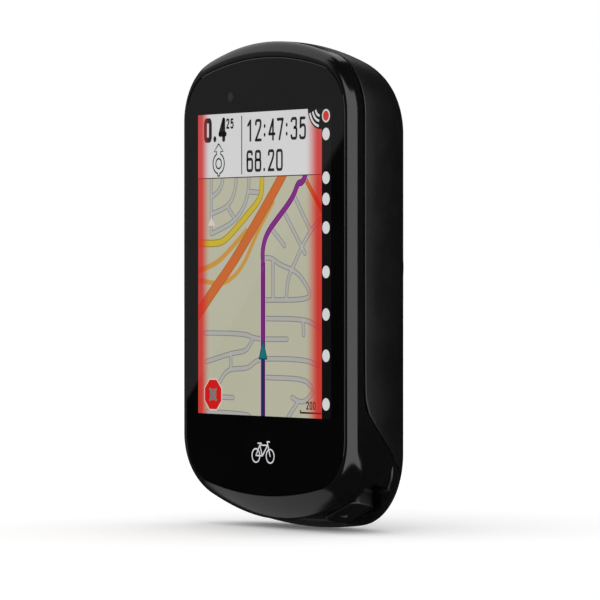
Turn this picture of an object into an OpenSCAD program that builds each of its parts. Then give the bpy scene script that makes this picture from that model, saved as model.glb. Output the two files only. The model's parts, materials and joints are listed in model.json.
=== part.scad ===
// Handlebar cycling computer: glass front, glossy front housing, matte rear cover, bottom
// buttons, rubber port cap and a quarter-turn mounting boss on the back.
// Body coordinates: X to the right, Y from the glass towards the back, Z up.
// The origin is moved to the centre of the mounting boss's end face.

/* [Body] */
// Width of the body
body_w = 50; // [49:0.5:52]
// Height of the body
body_h = 82; // [81:0.5:85]
// Depth from the glass to the flat back, without the mounting boss
body_d = 16.2; // [16:0.1:17]
// Wall thickness of both housings
wall = 1.6; // [1.4:0.1:1.7]
// Width of the parting gap between the housings
seam_gap = 0.3; // [0.2:0.05:0.4]

/* [Screen] */
// Width of the lit display area
screen_w = 39.2; // [36:0.2:40]
// Height of the lit display area
screen_h = 51.3; // [48:0.1:52]
// Height of the display centre above the body centre
screen_z = 3.6; // [2:0.1:4]
// Thickness of the cover glass
glass_t = 1.1; // [0.8:0.1:1.1]

/* [Buttons] */
// Length of the lap and start buttons
key_l = 9.2; // [8:0.2:9.6]
// Width of the lap and start buttons
key_w = 4.7; // [4.2:0.1:4.8]
// Angle by which the lap and start buttons turn sideways from straight down
key_tilt = 20.5; // [18:0.5:22]
// Angle by which the lap and start buttons turn towards the front
key_pitch = 12.7; // [11:0.1:14]
// Travel of the lap and start buttons
key_travel = 0.5; // [0.3:0.05:0.5]
// Length of the power button
power_l = 12; // [9:0.5:13]
// Width of the power button
power_w = 3.4; // [3:0.1:3.6]
// Clearance around every button
key_gap = 0.08; // [0.06:0.01:0.1]

/* [Mount] */
// Diameter of the boss between the tabs and the back
neck_d = 25.4; // [25:0.1:25.6]
// Diameter over the two tabs
tab_d = 31; // [30:0.1:31]
// Thickness of a tab
tab_t = 1.9; // [1.6:0.1:2]
// Distance from the flat back to the end of the boss
boss_h = 3.8; // [3.5:0.1:4]
// Height of the boss centre above the body centre
mount_z = 3; // [2:0.5:4]

/* [Battery] */
// Width of the battery
battery_w = 34; // [30:1:34]
// Height of the battery
battery_h = 40; // [36:1:40]
// Thickness of the battery
battery_t = 5.2; // [4.6:0.1:5.2]

/* [Hidden] */
$fn = 48;

half_w = body_w / 2;
half_h = body_h / 2;
inner_back = body_d - wall;

// Front edge rounding of the ring around the glass
edge_y = 1.6;
edge_in = 1.4;
top_edge_y = 1.3;
top_edge_in = 2.4;
// Height of the ring's lowest point below the body centre, and its slope
chin_h = half_h - 1.5;
chin_y = 3.2;
chin_in = 4;
// Underside as depth and height below the body centre: ring, shelf for the keys, rear lip
shelf_y = 3.5;
lip_y = 9.4;
heel_y = 10.6;
underside = [[chin_y, chin_h], [shelf_y, chin_h - 1], [lip_y, half_h - 1.35],
             [lip_y + 0.4, half_h - 0.2], [heel_y, half_h]];
// Rounding towards the back: where it starts at the sides and at the top, and its extent
round_y = 3.9;
top_round_y = 2.5;
side_in = 10.15;
top_in = 12.2;
heel_in = 5.5;
// Radii of the outline: capital R for the wide arcs, small r for the corners. The face is the
// narrow front rim around the glass, and the corners at the top grow tighter towards the back
face_R = 70.3;
face_r = 8.45;
top_R = 56;
corner_r = 10.6;
corner_y = 3;
corner_in = 3.1;
chin_R = 53;
shelf_R = 60;
lip_R = 90;
heel_R = 105;
glass_top_R = 70;
glass_R = 80;
chin_corner_r = 8.8;
heel_corner_r = 11.2;
corner_steps = 7;
arc_steps = 5;

// Cover glass
glass_hw = half_w - 1.65;
glass_top = half_h - 2.7;
glass_bottom = half_h - 5.7;
glass_r = 8.2;
glass_gap = 0.07;
ledge_y = glass_t + 0.2;
ledge_w = 1.75;
ledge_back = 2.5;

// Layers behind the glass
panel_y = ledge_y + 0.05;
panel_t = 1.25;
light_y = panel_y + panel_t + 0.05;
light_t = 0.95;
frame_y = 3.8;
frame_t = 0.8;
board_y = 5.4;
board_t = 0.8;
board_back = board_y + board_t;
board_hw = 21.3;
can_h = 1.4;
pad_t = 0.35;
battery_y = board_back + can_h + pad_t + 0.05;
battery_z = 2;

// Screw places, as x and z
cover_screw_at = [[-10.5, 25], [10.5, 25], [-12.7, -24.5], [12.7, -24.5]];
board_screw_at = [[-19.2, -12], [19.2, -12], [-19.2, 21], [19.2, 21]];
boss_end = 10.1;

cover_post_r = 2.6;
cover_bore_r = 0.95;
cover_head_r = 1.55;
cover_head_room = 0.2;
cover_seat_y = body_d - 1.3;
thread_r = 0.8;
insert_h = 3.2;
insert_out_r = 1.25;
frame_post_r = 2.4;
board_post_r = 1.6;
board_thread_r = 0.55;
board_head_r = 1.1;
hex_r = 0.75;

// Mounting boss
insert_r = 14;
insert_y = body_d - 1.2;
pad_r = insert_r + 1.4;
pad_y = insert_y - 1.3;
boss_y = body_d + boss_h;
boss_recess_r = 7.5;
boss_recess = 1.4;
tab_notch_r = 0.9;
tab_half_angle = 26;
mount_screw_r = 10.3;
mount_thread_r = 0.6;
mount_bore_r = 0.85;
mount_head_r = 1.5;
mount_seat = 1.1;

// Parts on the board: heights above the body centre, and places as x and z
antenna_w = 12;
antenna_z0 = 23.6;
antenna_z1 = 35;
antenna_h = 3.2;
antenna_pin_r = 0.8;
buzzer_at = [-5.4, -25];
buzzer_r = 4.2;
buzzer_h = 2.4;
buzzer_hole_r = 0.8;
air_sensor_at = [6.1, -27];
air_sensor_w = 2.6;
air_sensor_h = 1;
can_wall = 0.2;
lead_x = 2.6;
lead_r = 0.4;
lead_y = 10.2;
plug_y1 = 7.9;
pad_hw = 15;

// Vent through the back, and the pocket with a bar for a safety cord
vent_at = [6, -27];
vent_r = 0.6;
membrane_r = 2;
membrane_t = 0.3;
cord_at = [-10, -29.5];
cord_w = 5.2;
cord_h = 3.4;
cord_y = 13.2;
cord_bar_y = 15.3;
cord_bar_r = 0.8;
cord_wall = 1.2;

// Bottom buttons: face centre in body coordinates
key_x = 15;
key_y = 7.1;
key_z = -(half_h - 3);
key_r = 1.4;
key_pocket = 1.9;
key_seat = 3.4;
pocket_shift = 0.35;
power_y = 8.3;
power_z = 12;
power_x = half_w;
power_r = power_w / 2 - 0.1;
power_seat = 2.25;
flange_t = 0.6;
flange_lip = 0.7;
chamber_gap = 0.15;
chamber_l = 2.4;
stem_r = 0.9;
stem_l = 1;
touch_gap = 0.03;
plunger_r = 0.7;
plunger_out = 0.6;
plunger_in = 0.5;
switch_l = 3.6;
switch_w = 3;
switch_t = 1.5;

// Charging port and its cap
port_plane = -(half_h - 3.2);
port_wall = 1.8;
port_y = 7.6;
shell_w = 7.5;
shell_t = 2.7;
shell_top = -31.8;
shell_end = port_plane + 1;
cap_w = 21.2;
cap_front_y = 3.8;
cap_gap = 0.15;
cap_lift = 0.05;
// The cap ends at the back in a roll that turns in a round seat
hinge_r = 1.35;
hinge_gap = 0.08;
hinge_y = 12.6;
hinge_z = port_plane - hinge_r;
// Room around the lower half of the roll for the cap's outer side when it is open
sweep_r = 1.95;
sweep_top = 0.4;
anchor_y = 15;
anchor_top = port_plane + 0.8;
barb_y = 15.5;
barb_t = 0.6;
plug_y = 7.8;
plug_h = 0.8;

function mix(a, b, t) = a + (b - a) * t;
function clamp01(t) = min(1, max(0, t));
// Depth of an elliptical rounding after a fraction t of its length
function bulge(t) = 1 - sqrt(1 - pow(clamp01(t), 2));

function side_at(y) = half_w - edge_in * bulge((edge_y - y) / edge_y)
    - side_in * bulge((y - round_y) / (body_d - round_y));
function top_at(y) = half_h - top_edge_in * bulge((top_edge_y - y) / top_edge_y)
    - top_in * bulge((y - top_round_y) / (body_d - top_round_y));
function bottom_at(y) = y < chin_y
    ? chin_h - chin_in * pow((chin_y - y) / chin_y, 1.35)
    : lookup(y, underside) - heel_in * bulge((y - heel_y) / (body_d - heel_y));
function bottom_R_at(y) = lookup(y, [[0, glass_R], [chin_y, chin_R], [shelf_y, shelf_R],
    [lip_y, lip_R], [heel_y, heel_R]]);
function bottom_r_at(y) = lookup(y, [[0, face_r], [chin_y, chin_corner_r],
    [heel_y, heel_corner_r]]);
// Grows from 0 at the front face to 1 past the rounded top edge
function past_edge(y) = 1 - bulge((top_edge_y - y) / top_edge_y);
function top_R_at(y) = y < top_edge_y
    ? mix(face_R, top_R, past_edge(y)) : top_R - (half_h - top_at(y));
function top_r_at(y) = mix(face_r,
    corner_r - corner_in * clamp01((y - corner_y) / (body_d - corner_y)), past_edge(y));

function arc(cx, cz, r, a0, a1, steps, first) =
    [for (i = [first:steps]) let(a = mix(a0, a1, i / steps)) [cx + r * cos(a), cz + r * sin(a)]];
// A quarter outline from the widest point up to the middle: a corner arc, then a wide arc
function quarter(w, h, R, r) =
    let(mid = h - R, cz = mid + sqrt(pow(R - r, 2) - pow(w - r, 2)), a = atan2(cz - mid, w - r))
    concat(arc(w - r, cz, r, 0, a, corner_steps, 0), arc(0, mid, R, a, 90, arc_steps, 1));
function reversed(p) = [for (i = [len(p) - 1:-1:0]) p[i]];
function flipped(p, sx, sz) = [for (q = p) [q[0] * sx, q[1] * sz]];
function without_first(p) = [for (i = [1:len(p) - 1]) p[i]];
function ring(w, top, bottom, top_R, top_r, bottom_R, bottom_r) =
    let(upper = quarter(w, top, top_R, top_r), lower = quarter(w, bottom, bottom_R, bottom_r))
    concat(upper, without_first(reversed(flipped(upper, -1, 1))),
           flipped(lower, -1, -1), without_first(reversed(flipped(lower, 1, -1))));
// Outline of the body at depth y, moved inwards
function section(y, inward) =
    ring(side_at(y) - inward, top_at(y) - inward, bottom_at(y) - inward,
         top_R_at(y) - inward, top_r_at(y) - inward,
         bottom_R_at(y) - inward, bottom_r_at(y) - inward);
// Inside a wall the rounding is squeezed so that the inner back is flat at inner_back
function inner_depth(y) = y < round_y
    ? y : round_y + (y - round_y) * (body_d - round_y) / (inner_back - round_y);

outer_depths = concat([0, 0.05, 0.15, 0.35, 0.65, 1, top_edge_y, edge_y, 2.4, chin_y, shelf_y,
    round_y, 6, 8, lip_y, lip_y + 0.4],
    [for (a = [0:15:90]) heel_y + (body_d - heel_y) * sin(a)]);
inner_depths = concat([ledge_back, chin_y, round_y, 6.5],
    [for (a = [0:18:90]) 9 + (inner_back - 9) * sin(a)]);

// Side view of the parting line: straight down, then slanting to the lower back
seam_line = [[2.9, half_h + 9], [2.9, -17.5], [3.15, -19.8], [4, -21.7], [6.9, -25.3],
             [11, -29.8], [20, -39.2]];

module loft(depths, rings) {
    n = len(rings[0]);
    last = len(rings) - 1;
    points = [for (k = [0:last]) for (p = rings[k]) [p[0], depths[k], p[1]]];
    sides = [for (k = [0:last - 1]) for (j = [0:n - 1])
        let(a = k * n + j, b = k * n + (j + 1) % n) each [[a, b, b + n], [a, b + n, a + n]]];
    front = [for (j = [n - 1:-1:0]) j];
    back = [for (j = [0:n - 1]) last * n + j];
    polyhedron(points = points, faces = concat([front], sides, [back]));
}

module outer_shape() {
    loft(outer_depths, [for (y = outer_depths) section(y, 0)]);
}

module inset_shape(inward) {
    loft(inner_depths, [for (y = inner_depths) section(inner_depth(y), inward)]);
}

// A flat plate with the body's outline, moved inwards, from y0 to y1
module plate(outline, y0, y1) {
    translate([0, y1, 0]) rotate([90, 0, 0]) linear_extrude(y1 - y0) polygon(outline);
}

function glass_outline(inward) = ring(glass_hw - inward, glass_top - inward,
    glass_bottom - inward, glass_top_R - inward, glass_r - inward,
    glass_R - inward, glass_r - inward);

module box(x0, x1, y0, y1, z0, z1) {
    translate([x0, y0, z0]) cube([x1 - x0, y1 - y0, z1 - z0]);
}

// Round solid along Y
module rod(x, z, r, y0, y1) {
    translate([x, y1, z]) rotate([90, 0, 0]) cylinder(r = r, h = y1 - y0);
}

module front_side() {
    rotate([90, 0, 90]) translate([-seam_gap / 2, -0.1, -half_w - 5])
        linear_extrude(body_w + 10)
            polygon(concat(seam_line, [[20, -half_h - 9], [-2, -half_h - 9], [-2, half_h + 9]]));
}

module back_side() {
    rotate([90, 0, 90]) translate([seam_gap / 2, 0.1, -half_w - 5])
        linear_extrude(body_w + 10)
            polygon(concat(seam_line, [[24, -39.2], [24, half_h + 9]]));
}

// Frame of a bottom button: X along the button, Y deeper, -Z outwards; side is 1 or -1
module key_place(side) {
    mirror([side < 0 ? 1 : 0, 0, 0])
        translate([key_x, key_y, key_z]) rotate([0, -key_tilt, 0]) rotate([-key_pitch, 0, 0])
            children();
}

// Frame of the power button: X downwards, -Z outwards to the left
module power_place() {
    translate([-power_x, power_y, power_z]) rotate([0, 90, 0]) children();
}

// Flat bar along X with rounded corners
module bar(l, w, r, z0, z1) {
    translate([0, 0, z0]) linear_extrude(z1 - z0) union() {
        square([l - 2 * r, w], center = true);
        square([l, w - 2 * r], center = true);
        for (sx = [-1, 1]) for (sy = [-1, 1])
            translate([sx * (l / 2 - r), sy * (w / 2 - r)]) circle(r = r);
    }
}

module bar_ring(l, w, r, t, z0, z1) {
    difference() {
        bar(l, w, r, z0, z1);
        bar(l - 2 * t, w - 2 * t, r - t, z0 - 1, z1 + 1);
    }
}

seal_t = 0.5;
seal_l = 0.7;
seal_gap = 0.04;

// Keycap, sealing groove, inner flange and stem; seat is the distance from face to flange
module key(l, w, r, seat) {
    lip = 2 * flange_lip;
    flange_z = seat + touch_gap;
    difference() {
        union() {
            bar(l, w, r, 0, flange_z);
            bar(l + lip, w + lip, r + flange_lip, flange_z, flange_z + flange_t);
            translate([0, 0, seat]) cylinder(r = stem_r, h = flange_t + stem_l);
        }
        translate([0, 0, seat - 0.2 - seal_l]) bar_ring(l + 2, w + 2, r + 1, 1 + seal_t, 0, seal_l);
    }
}

module key_seal(l, w, r, seat) {
    z = seat - 0.2 - seal_l;
    grow = 2 * seal_gap;
    bar_ring(l + grow, w + grow, r + seal_gap, seal_t, z + 0.02, z + seal_l - 0.02);
}

function plunger_start(seat) = seat + flange_t + stem_l + touch_gap;

module plunger(seat) {
    translate([0, 0, plunger_start(seat)]) cylinder(r = plunger_r, h = plunger_out + plunger_in);
}

module switch_body(seat) {
    z = plunger_start(seat) + plunger_out;
    difference() {
        translate([-switch_l / 2, -switch_w / 2, z]) cube([switch_l, switch_w, switch_t]);
        translate([0, 0, z - 1]) cylinder(r = plunger_r + 0.06, h = 1 + plunger_in + key_travel + 0.1);
    }
}

// Hole for a button, and the chamber behind the wall that its flange moves in
module key_opening(l, w, r, seat, pocket) {
    chamber = 2 * (flange_lip + chamber_gap);
    bar(l + 2 * key_gap, w + 2 * key_gap, r + key_gap, -4, seat + 1);
    bar(l + chamber, w + chamber, r + chamber / 2, seat, seat + chamber_l);
    if (pocket > 0) translate([pocket_shift, 0, 0]) bar(l + 1.1, w + 0.9, r + 0.45, -6, pocket);
}

// Column along X with a side outline of depth and height pairs
module column(w, outline) {
    rotate([90, 0, 90]) translate([0, 0, -w / 2]) linear_extrude(w) polygon(outline);
}

// Distance from the middle to the inner end of a bottom button at the height z
function key_end_x(z) = key_x - key_l / 2 / cos(key_tilt) - (z - key_z) * tan(key_tilt);

// Solid along Y whose sides are upright outside and then follow the buttons' slanting ends
module cap_block(grow, y0, y1, top) {
    side = cap_w / 2 + grow;
    inner = key_end_x(port_plane) - cap_gap + grow;
    bend_z = key_z + (key_end_x(key_z) - cap_gap - cap_w / 2) / tan(key_tilt);
    half = [[side, -half_h - 2], [side, bend_z], [inner, port_plane], [inner, top]];
    plate(concat(half, reversed(flipped(half, -1, 1))), y0, y1);
}

// Round bar along the cap's hinge line
module hinge_roll(r, l) {
    translate([-l / 2, hinge_y, hinge_z]) rotate([0, 90, 0]) cylinder(r = r, h = l);
}

// Seat of the roll, and the room that the cap sweeps below it
module hinge_seat() {
    l = cap_w + 2 * cap_gap;
    hinge_roll(hinge_r + hinge_gap, l);
    intersection() {
        hinge_roll(sweep_r, l);
        box(-l, l, 0, body_d, -half_h - 2, hinge_z + sweep_top);
    }
}

module anchor_column(grow) {
    column(cap_w + 2 * grow, [[hinge_y, -half_h - 2], [hinge_y, anchor_top + grow],
        [barb_y + grow, anchor_top + grow], [barb_y + grow, anchor_top - barb_t - grow],
        [anchor_y + grow, anchor_top - barb_t - grow], [anchor_y + grow, -half_h - 2]]);
}

// Thick wall around a bottom button, up to the height z
module key_wall(z) {
    translate([-key_l / 2 - 5, -key_w - 2, -6]) cube([key_l + 12, 3 * key_w, z + 6]);
}

// Pocket for a safety cord, larger by grow on every side
module cord_pocket(grow) {
    box(cord_at[0] - cord_w / 2 - grow, cord_at[0] + cord_w / 2 + grow, cord_y - grow, body_d + 1,
        cord_at[1] - cord_h / 2 - grow, cord_at[1] + cord_h / 2 + grow);
}

// Hollow of the case: the inset body less the blocks that thicken its wall
module hollow() {
    difference() {
        inset_shape(wall);
        box(-cap_w / 2 - 1.4, cap_w / 2 + 1.4, 0, body_d, -half_h, port_plane + port_wall);
        for (s = [-1, 1]) key_place(s) key_wall(key_seat);
        translate([-half_w - 1, power_y - power_w, power_z - power_l / 2 - 2])
            cube([half_w + 1 - power_x + power_seat, 2 * power_w, power_l + 4]);
        rod(0, mount_z, pad_r, pad_y, body_d);
        intersection() {
            cord_pocket(cord_wall);
            back_side();
        }
        for (p = cover_screw_at) rod(p[0], p[1], cover_post_r, boss_end + 0.1, body_d);
    }
}

module front_housing() {
    color([0.05, 0.05, 0.055]) difference() {
        intersection() {
            outer_shape();
            front_side();
        }
        plate(glass_outline(-glass_gap), -1, ledge_y);
        plate(glass_outline(ledge_w), 0, ledge_back + 0.1);
        hollow();
        for (s = [-1, 1]) key_place(s) key_opening(key_l, key_w, key_r, key_seat, key_pocket);
        cap_block(cap_gap, cap_front_y - cap_gap, hinge_y, port_plane + cap_lift);
        hinge_seat();
        anchor_column(cap_lift);
        translate([0, port_y, port_plane - 1]) bar(9, 3.8, 1.8, 0, port_wall + 1.5);
    }
}

module rear_cover() {
    color([0.16, 0.16, 0.165]) difference() {
        intersection() {
            outer_shape();
            back_side();
        }
        hollow();
        rod(0, mount_z, insert_r + 0.05, insert_y, boss_y);
        for (a = [45:90:315])
            rod(mount_screw_r * cos(a), mount_z + mount_screw_r * sin(a), mount_thread_r,
                insert_y - 1, insert_y + 1);
        for (p = cover_screw_at) {
            rod(p[0], p[1], cover_bore_r, boss_end - 1, body_d + 1);
            rod(p[0], p[1], cover_head_r + cover_head_room, cover_seat_y, body_d + 1);
        }
        power_place() key_opening(power_l, power_w, power_r, power_seat, 0);
        rod(vent_at[0], vent_at[1], vent_r, inner_back - 1, body_d + 1);
        difference() {
            cord_pocket(0);
            translate([cord_at[0] - cord_w, cord_bar_y, cord_at[1]]) rotate([0, 90, 0])
                cylinder(r = cord_bar_r, h = 2 * cord_w);
        }
    }
}

module case_gasket() {
    depths = [2.5, chin_y, round_y, 6, 8, 10, 12, 13.6, 14.8, 15.4];
    color([0.02, 0.02, 0.02]) intersection() {
        difference() {
            loft(depths, [for (y = depths) section(y, 0.6)]);
            loft([for (y = depths) y * 1.03 - 0.2],
                 [for (y = depths) section(y, 1.2)]);
        }
        rotate([90, 0, 90]) translate([0, 0, -half_w - 5]) linear_extrude(body_w + 10)
            polygon(concat(
                [for (p = seam_line) [p[0] - seam_gap / 2, p[1] - 0.1]],
                reversed([for (p = seam_line) [p[0] + seam_gap / 2, p[1] + 0.1]])));
    }
}

module cover_glass() {
    color([0.01, 0.01, 0.012]) plate(glass_outline(0), 0, glass_t);
}

module glass_adhesive() {
    color([0.1, 0.1, 0.1]) difference() {
        plate(glass_outline(0.15), glass_t, ledge_y);
        plate(glass_outline(ledge_w - 0.1), 0, 3);
    }
}

module display_panel() {
    color([0.75, 0.75, 0.72])
        box(-screen_w / 2 - 1.2, screen_w / 2 + 1.2, panel_y, panel_y + panel_t,
            screen_z - screen_h / 2 - 3.4, screen_z + screen_h / 2 + 1.4);
}

module backlight_unit() {
    color([0.9, 0.9, 0.88])
        box(-screen_w / 2 - 1, screen_w / 2 + 1, light_y, light_y + light_t,
            screen_z - screen_h / 2 - 2.6, screen_z + screen_h / 2 + 1.2);
}

module display_flex() {
    z = screen_z - screen_h / 2 - 3.45;
    color([0.75, 0.45, 0.1]) {
        box(-6, 6, panel_y + 0.4, panel_y + 0.6, z - 1, z);
        box(-6, 6, panel_y + 0.4, board_y - 0.4, z - 1.2, z - 1);
        box(-6, 6, board_y - 0.6, board_y - 0.4, z - 1, z + 2.6);
        box(-5, 5, board_y - 0.4, board_y, z + 1.2, z + 2.6);
    }
}

module light_sensor() {
    color([0.2, 0.2, 0.22])
        box(-10.6, -8.4, panel_y, panel_y + 0.8, 31.2, 32.8);
}

module inner_frame() {
    key_back = plunger_start(key_seat) + plunger_out + switch_t + 0.05;
    color([0.45, 0.46, 0.48]) difference() {
        union() {
            plate(section(round_y, wall + 0.35), frame_y, frame_y + frame_t);
            difference() {
                plate(section(round_y, wall + 0.35), ledge_back + 0.05, frame_y);
                plate(section(round_y, wall + 1.6), 0, frame_y + 1);
            }
            for (p = cover_screw_at) rod(p[0], p[1], frame_post_r, frame_y, boss_end);
            for (p = board_screw_at) rod(p[0], p[1], board_post_r, frame_y, board_y);
            for (s = [-1, 1])
                key_place(s) translate([-2, -5.2, key_back]) cube([4, 6.8, 1]);
        }
        box(-half_w, half_w, 0, frame_y + 2, -half_h, port_plane + port_wall + 0.2);
        for (s = [-1, 1])
            key_place(s) key_wall(key_seat + flange_t + 0.8);
        box(-6.6, 6.6, 0, board_y, -27.9, -25.6);
        box(-10, 10, 0, board_y + 1, 8, 22);
        for (p = cover_screw_at) rod(p[0], p[1], insert_out_r, boss_end - insert_h, boss_end + 1);
        for (p = board_screw_at) rod(p[0], p[1], board_thread_r, frame_y - 1, board_y + 1);
    }
}

module main_board() {
    color([0.05, 0.3, 0.12]) difference() {
        union() {
            box(-board_hw, board_hw, board_y, board_back, -22, 33);
            box(-17, 17, board_y, board_back, -28.5, -21);
            box(-14.5, 14.5, board_y, board_back, 32, 35.5);
            box(-6, 6, board_y, board_back, port_plane + port_wall + 1.1, -28);
        }
        for (p = cover_screw_at) rod(p[0], p[1], frame_post_r + 0.2, 0, boss_end);
        for (p = board_screw_at) rod(p[0], p[1], board_thread_r + 0.2, 0, boss_end);
    }
}

module board_screws() {
    color([0.8, 0.8, 0.8]) for (p = board_screw_at) difference() {
        union() {
            rod(p[0], p[1], board_thread_r, frame_y + 0.2, board_back);
            rod(p[0], p[1], board_head_r, board_back, board_back + 0.6);
        }
        rod(p[0], p[1], board_head_r / 3, board_back + 0.25, board_back + 2);
    }
}

module can(x0, x1, z0, z1) {
    difference() {
        box(x0, x1, board_back, board_back + can_h, z0, z1);
        box(x0 + can_wall, x1 - can_wall, board_back - 1, board_back + can_h - can_wall,
            z0 + can_wall, z1 - can_wall);
    }
}

module shield_cans() {
    color([0.75, 0.76, 0.78]) {
        can(-15.5, 1, -4, 17);
        can(3, 15.5, -16, 8);
    }
}

module gnss_antenna() {
    color([0.85, 0.8, 0.7]) {
        box(-antenna_w / 2, antenna_w / 2, board_back, board_back + antenna_h, antenna_z0,
            antenna_z1);
        rod(0, (antenna_z0 + antenna_z1) / 2, antenna_pin_r, board_back + antenna_h,
            board_back + antenna_h + 0.3);
    }
}

module battery() {
    color([0.7, 0.72, 0.75])
        box(-battery_w / 2, battery_w / 2, battery_y, battery_y + battery_t,
            battery_z - battery_h / 2, battery_z + battery_h / 2);
}

module battery_pad() {
    color([0.15, 0.15, 0.15])
        box(-pad_hw, pad_hw, battery_y - pad_t - 0.05, battery_y, -pad_hw, pad_hw + 1.5);
}

module battery_leads() {
    z = battery_z - battery_h / 2;
    for (s = [-1, 1]) color(s < 0 ? [0.7, 0.05, 0.05] : [0.05, 0.05, 0.05]) {
        x = lead_x + s * 2 * lead_r;
        translate([x, lead_y, z - 1.5]) cylinder(r = lead_r, h = 1.5);
        translate([x, lead_y, z - 1.5]) sphere(r = lead_r);
        rod(x, z - 1.5, lead_r, plug_y1 - 0.2, lead_y);
    }
    color([0.9, 0.9, 0.85]) box(lead_x - 2, lead_x + 2, board_back, plug_y1, z - 3, z - 0.4);
}

module buzzer() {
    color([0.1, 0.1, 0.1]) difference() {
        rod(buzzer_at[0], buzzer_at[1], buzzer_r, board_back, board_back + buzzer_h);
        rod(buzzer_at[0], buzzer_at[1], buzzer_hole_r, board_back + buzzer_h - 1,
            board_back + buzzer_h + 1);
    }
}

module pressure_sensor() {
    color([0.75, 0.75, 0.78]) difference() {
        box(air_sensor_at[0] - air_sensor_w / 2, air_sensor_at[0] + air_sensor_w / 2, board_back,
            board_back + air_sensor_h, air_sensor_at[1] - 1.2, air_sensor_at[1] + 1.2);
        rod(air_sensor_at[0], air_sensor_at[1], 0.25, board_back + air_sensor_h / 2,
            board_back + air_sensor_h + 1);
    }
}

module vent_membrane() {
    color([0.92, 0.92, 0.92])
        rod(vent_at[0], vent_at[1], membrane_r, inner_back - membrane_t, inner_back);
}

module usb_block(w, t, r, z0, z1) {
    translate([0, port_y, 0]) bar(w, t, r, z0, z1);
}

module usb_shell() {
    color([0.8, 0.8, 0.82]) difference() {
        usb_block(shell_w, shell_t, 0.9, shell_end, shell_top);
        usb_block(shell_w - 0.6, shell_t - 0.6, 0.6, shell_end - 1, shell_top - 0.3);
    }
}

module usb_tongue() {
    color([0.1, 0.1, 0.1])
        box(-2.4, 2.4, port_y + 0.05, port_y + 0.6, shell_end + 0.6, shell_top - 0.3);
}

module usb_seal() {
    z = port_plane + port_wall;
    color([0.3, 0.3, 0.32]) difference() {
        usb_block(9.6, 3.9, 1.4, z + 0.02, z + 0.9);
        usb_block(shell_w + 0.04, shell_t + 0.04, 0.92, z - 1, z + 2);
    }
}

module usb_cap() {
    color([0.13, 0.13, 0.135]) union() {
        intersection() {
            outer_shape();
            cap_block(0, cap_front_y, body_d, port_plane);
            union() {
                box(-body_w, body_w, cap_front_y, hinge_y, -half_h - 2, port_plane);
                hinge_roll(hinge_r, body_w);
            }
        }
        translate([0, plug_y, port_plane - 0.5]) bar(6, 2, 0.8, 0, 0.5 + plug_h);
    }
}

module cap_anchor() {
    color([0.13, 0.13, 0.135]) difference() {
        intersection() {
            outer_shape();
            anchor_column(0);
        }
        hinge_seat();
    }
}

module hex_socket(x, y, z) {
    translate([x, y, z]) rotate([-90, 0, 0]) cylinder(r = hex_r, h = 2, $fn = 6);
}

module cover_screws() {
    color([0.35, 0.35, 0.36]) for (p = cover_screw_at) difference() {
        union() {
            rod(p[0], p[1], thread_r, boss_end - insert_h + 0.3, cover_seat_y);
            rod(p[0], p[1], cover_head_r, cover_seat_y, cover_seat_y + 1);
        }
        hex_socket(p[0], cover_seat_y + 0.5, p[1]);
    }
}

module threaded_inserts() {
    color([0.8, 0.62, 0.3]) for (p = cover_screw_at) difference() {
        rod(p[0], p[1], insert_out_r, boss_end - insert_h, boss_end);
        rod(p[0], p[1], thread_r, boss_end - insert_h - 1, boss_end + 1);
    }
}

// Wedge that keeps the tabs around the top and bottom of the boss
module tab_sector(flip) {
    reach = tab_d;
    rotate([90, flip * 180, 0]) translate([0, 0, -boss_y]) linear_extrude(tab_t)
        polygon([[0, 0], [reach * sin(tab_half_angle), reach * cos(tab_half_angle)],
                 [-reach * sin(tab_half_angle), reach * cos(tab_half_angle)]]);
}

module mount_insert() {
    color([0.08, 0.08, 0.085]) difference() {
        union() {
            rod(0, mount_z, insert_r, insert_y, body_d);
            rod(0, mount_z, neck_d / 2, body_d, boss_y);
            intersection() {
                rod(0, mount_z, tab_d / 2, boss_y - tab_t, boss_y);
                union() for (f = [0, 1]) translate([0, 0, mount_z]) tab_sector(f);
            }
        }
        rod(0, mount_z, boss_recess_r, boss_y - boss_recess, boss_y + 1);
        for (s = [-1, 1])
            rod(0, mount_z + s * tab_d / 2, tab_notch_r, boss_y - tab_t - 1, boss_y + 1);
        for (a = [45:90:315]) {
            x = mount_screw_r * cos(a);
            z = mount_z + mount_screw_r * sin(a);
            rod(x, z, mount_bore_r, insert_y - 1, boss_y);
            rod(x, z, mount_head_r + 0.1, boss_y - mount_seat, boss_y + 1);
        }
    }
}

module mount_screws() {
    color([0.6, 0.6, 0.62]) for (a = [45:90:315]) {
        x = mount_screw_r * cos(a);
        z = mount_z + mount_screw_r * sin(a);
        difference() {
            union() {
                rod(x, z, mount_thread_r, insert_y - 0.9, boss_y - mount_seat);
                rod(x, z, mount_head_r, boss_y - mount_seat, boss_y - 0.2);
            }
            hex_socket(x, boss_y - 0.7, z);
        }
    }
}

key_colour = [0.07, 0.07, 0.075];
seal_colour = [0.25, 0.25, 0.26];
switch_colour = [0.72, 0.72, 0.74];
plunger_colour = [0.9, 0.88, 0.8];

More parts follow.
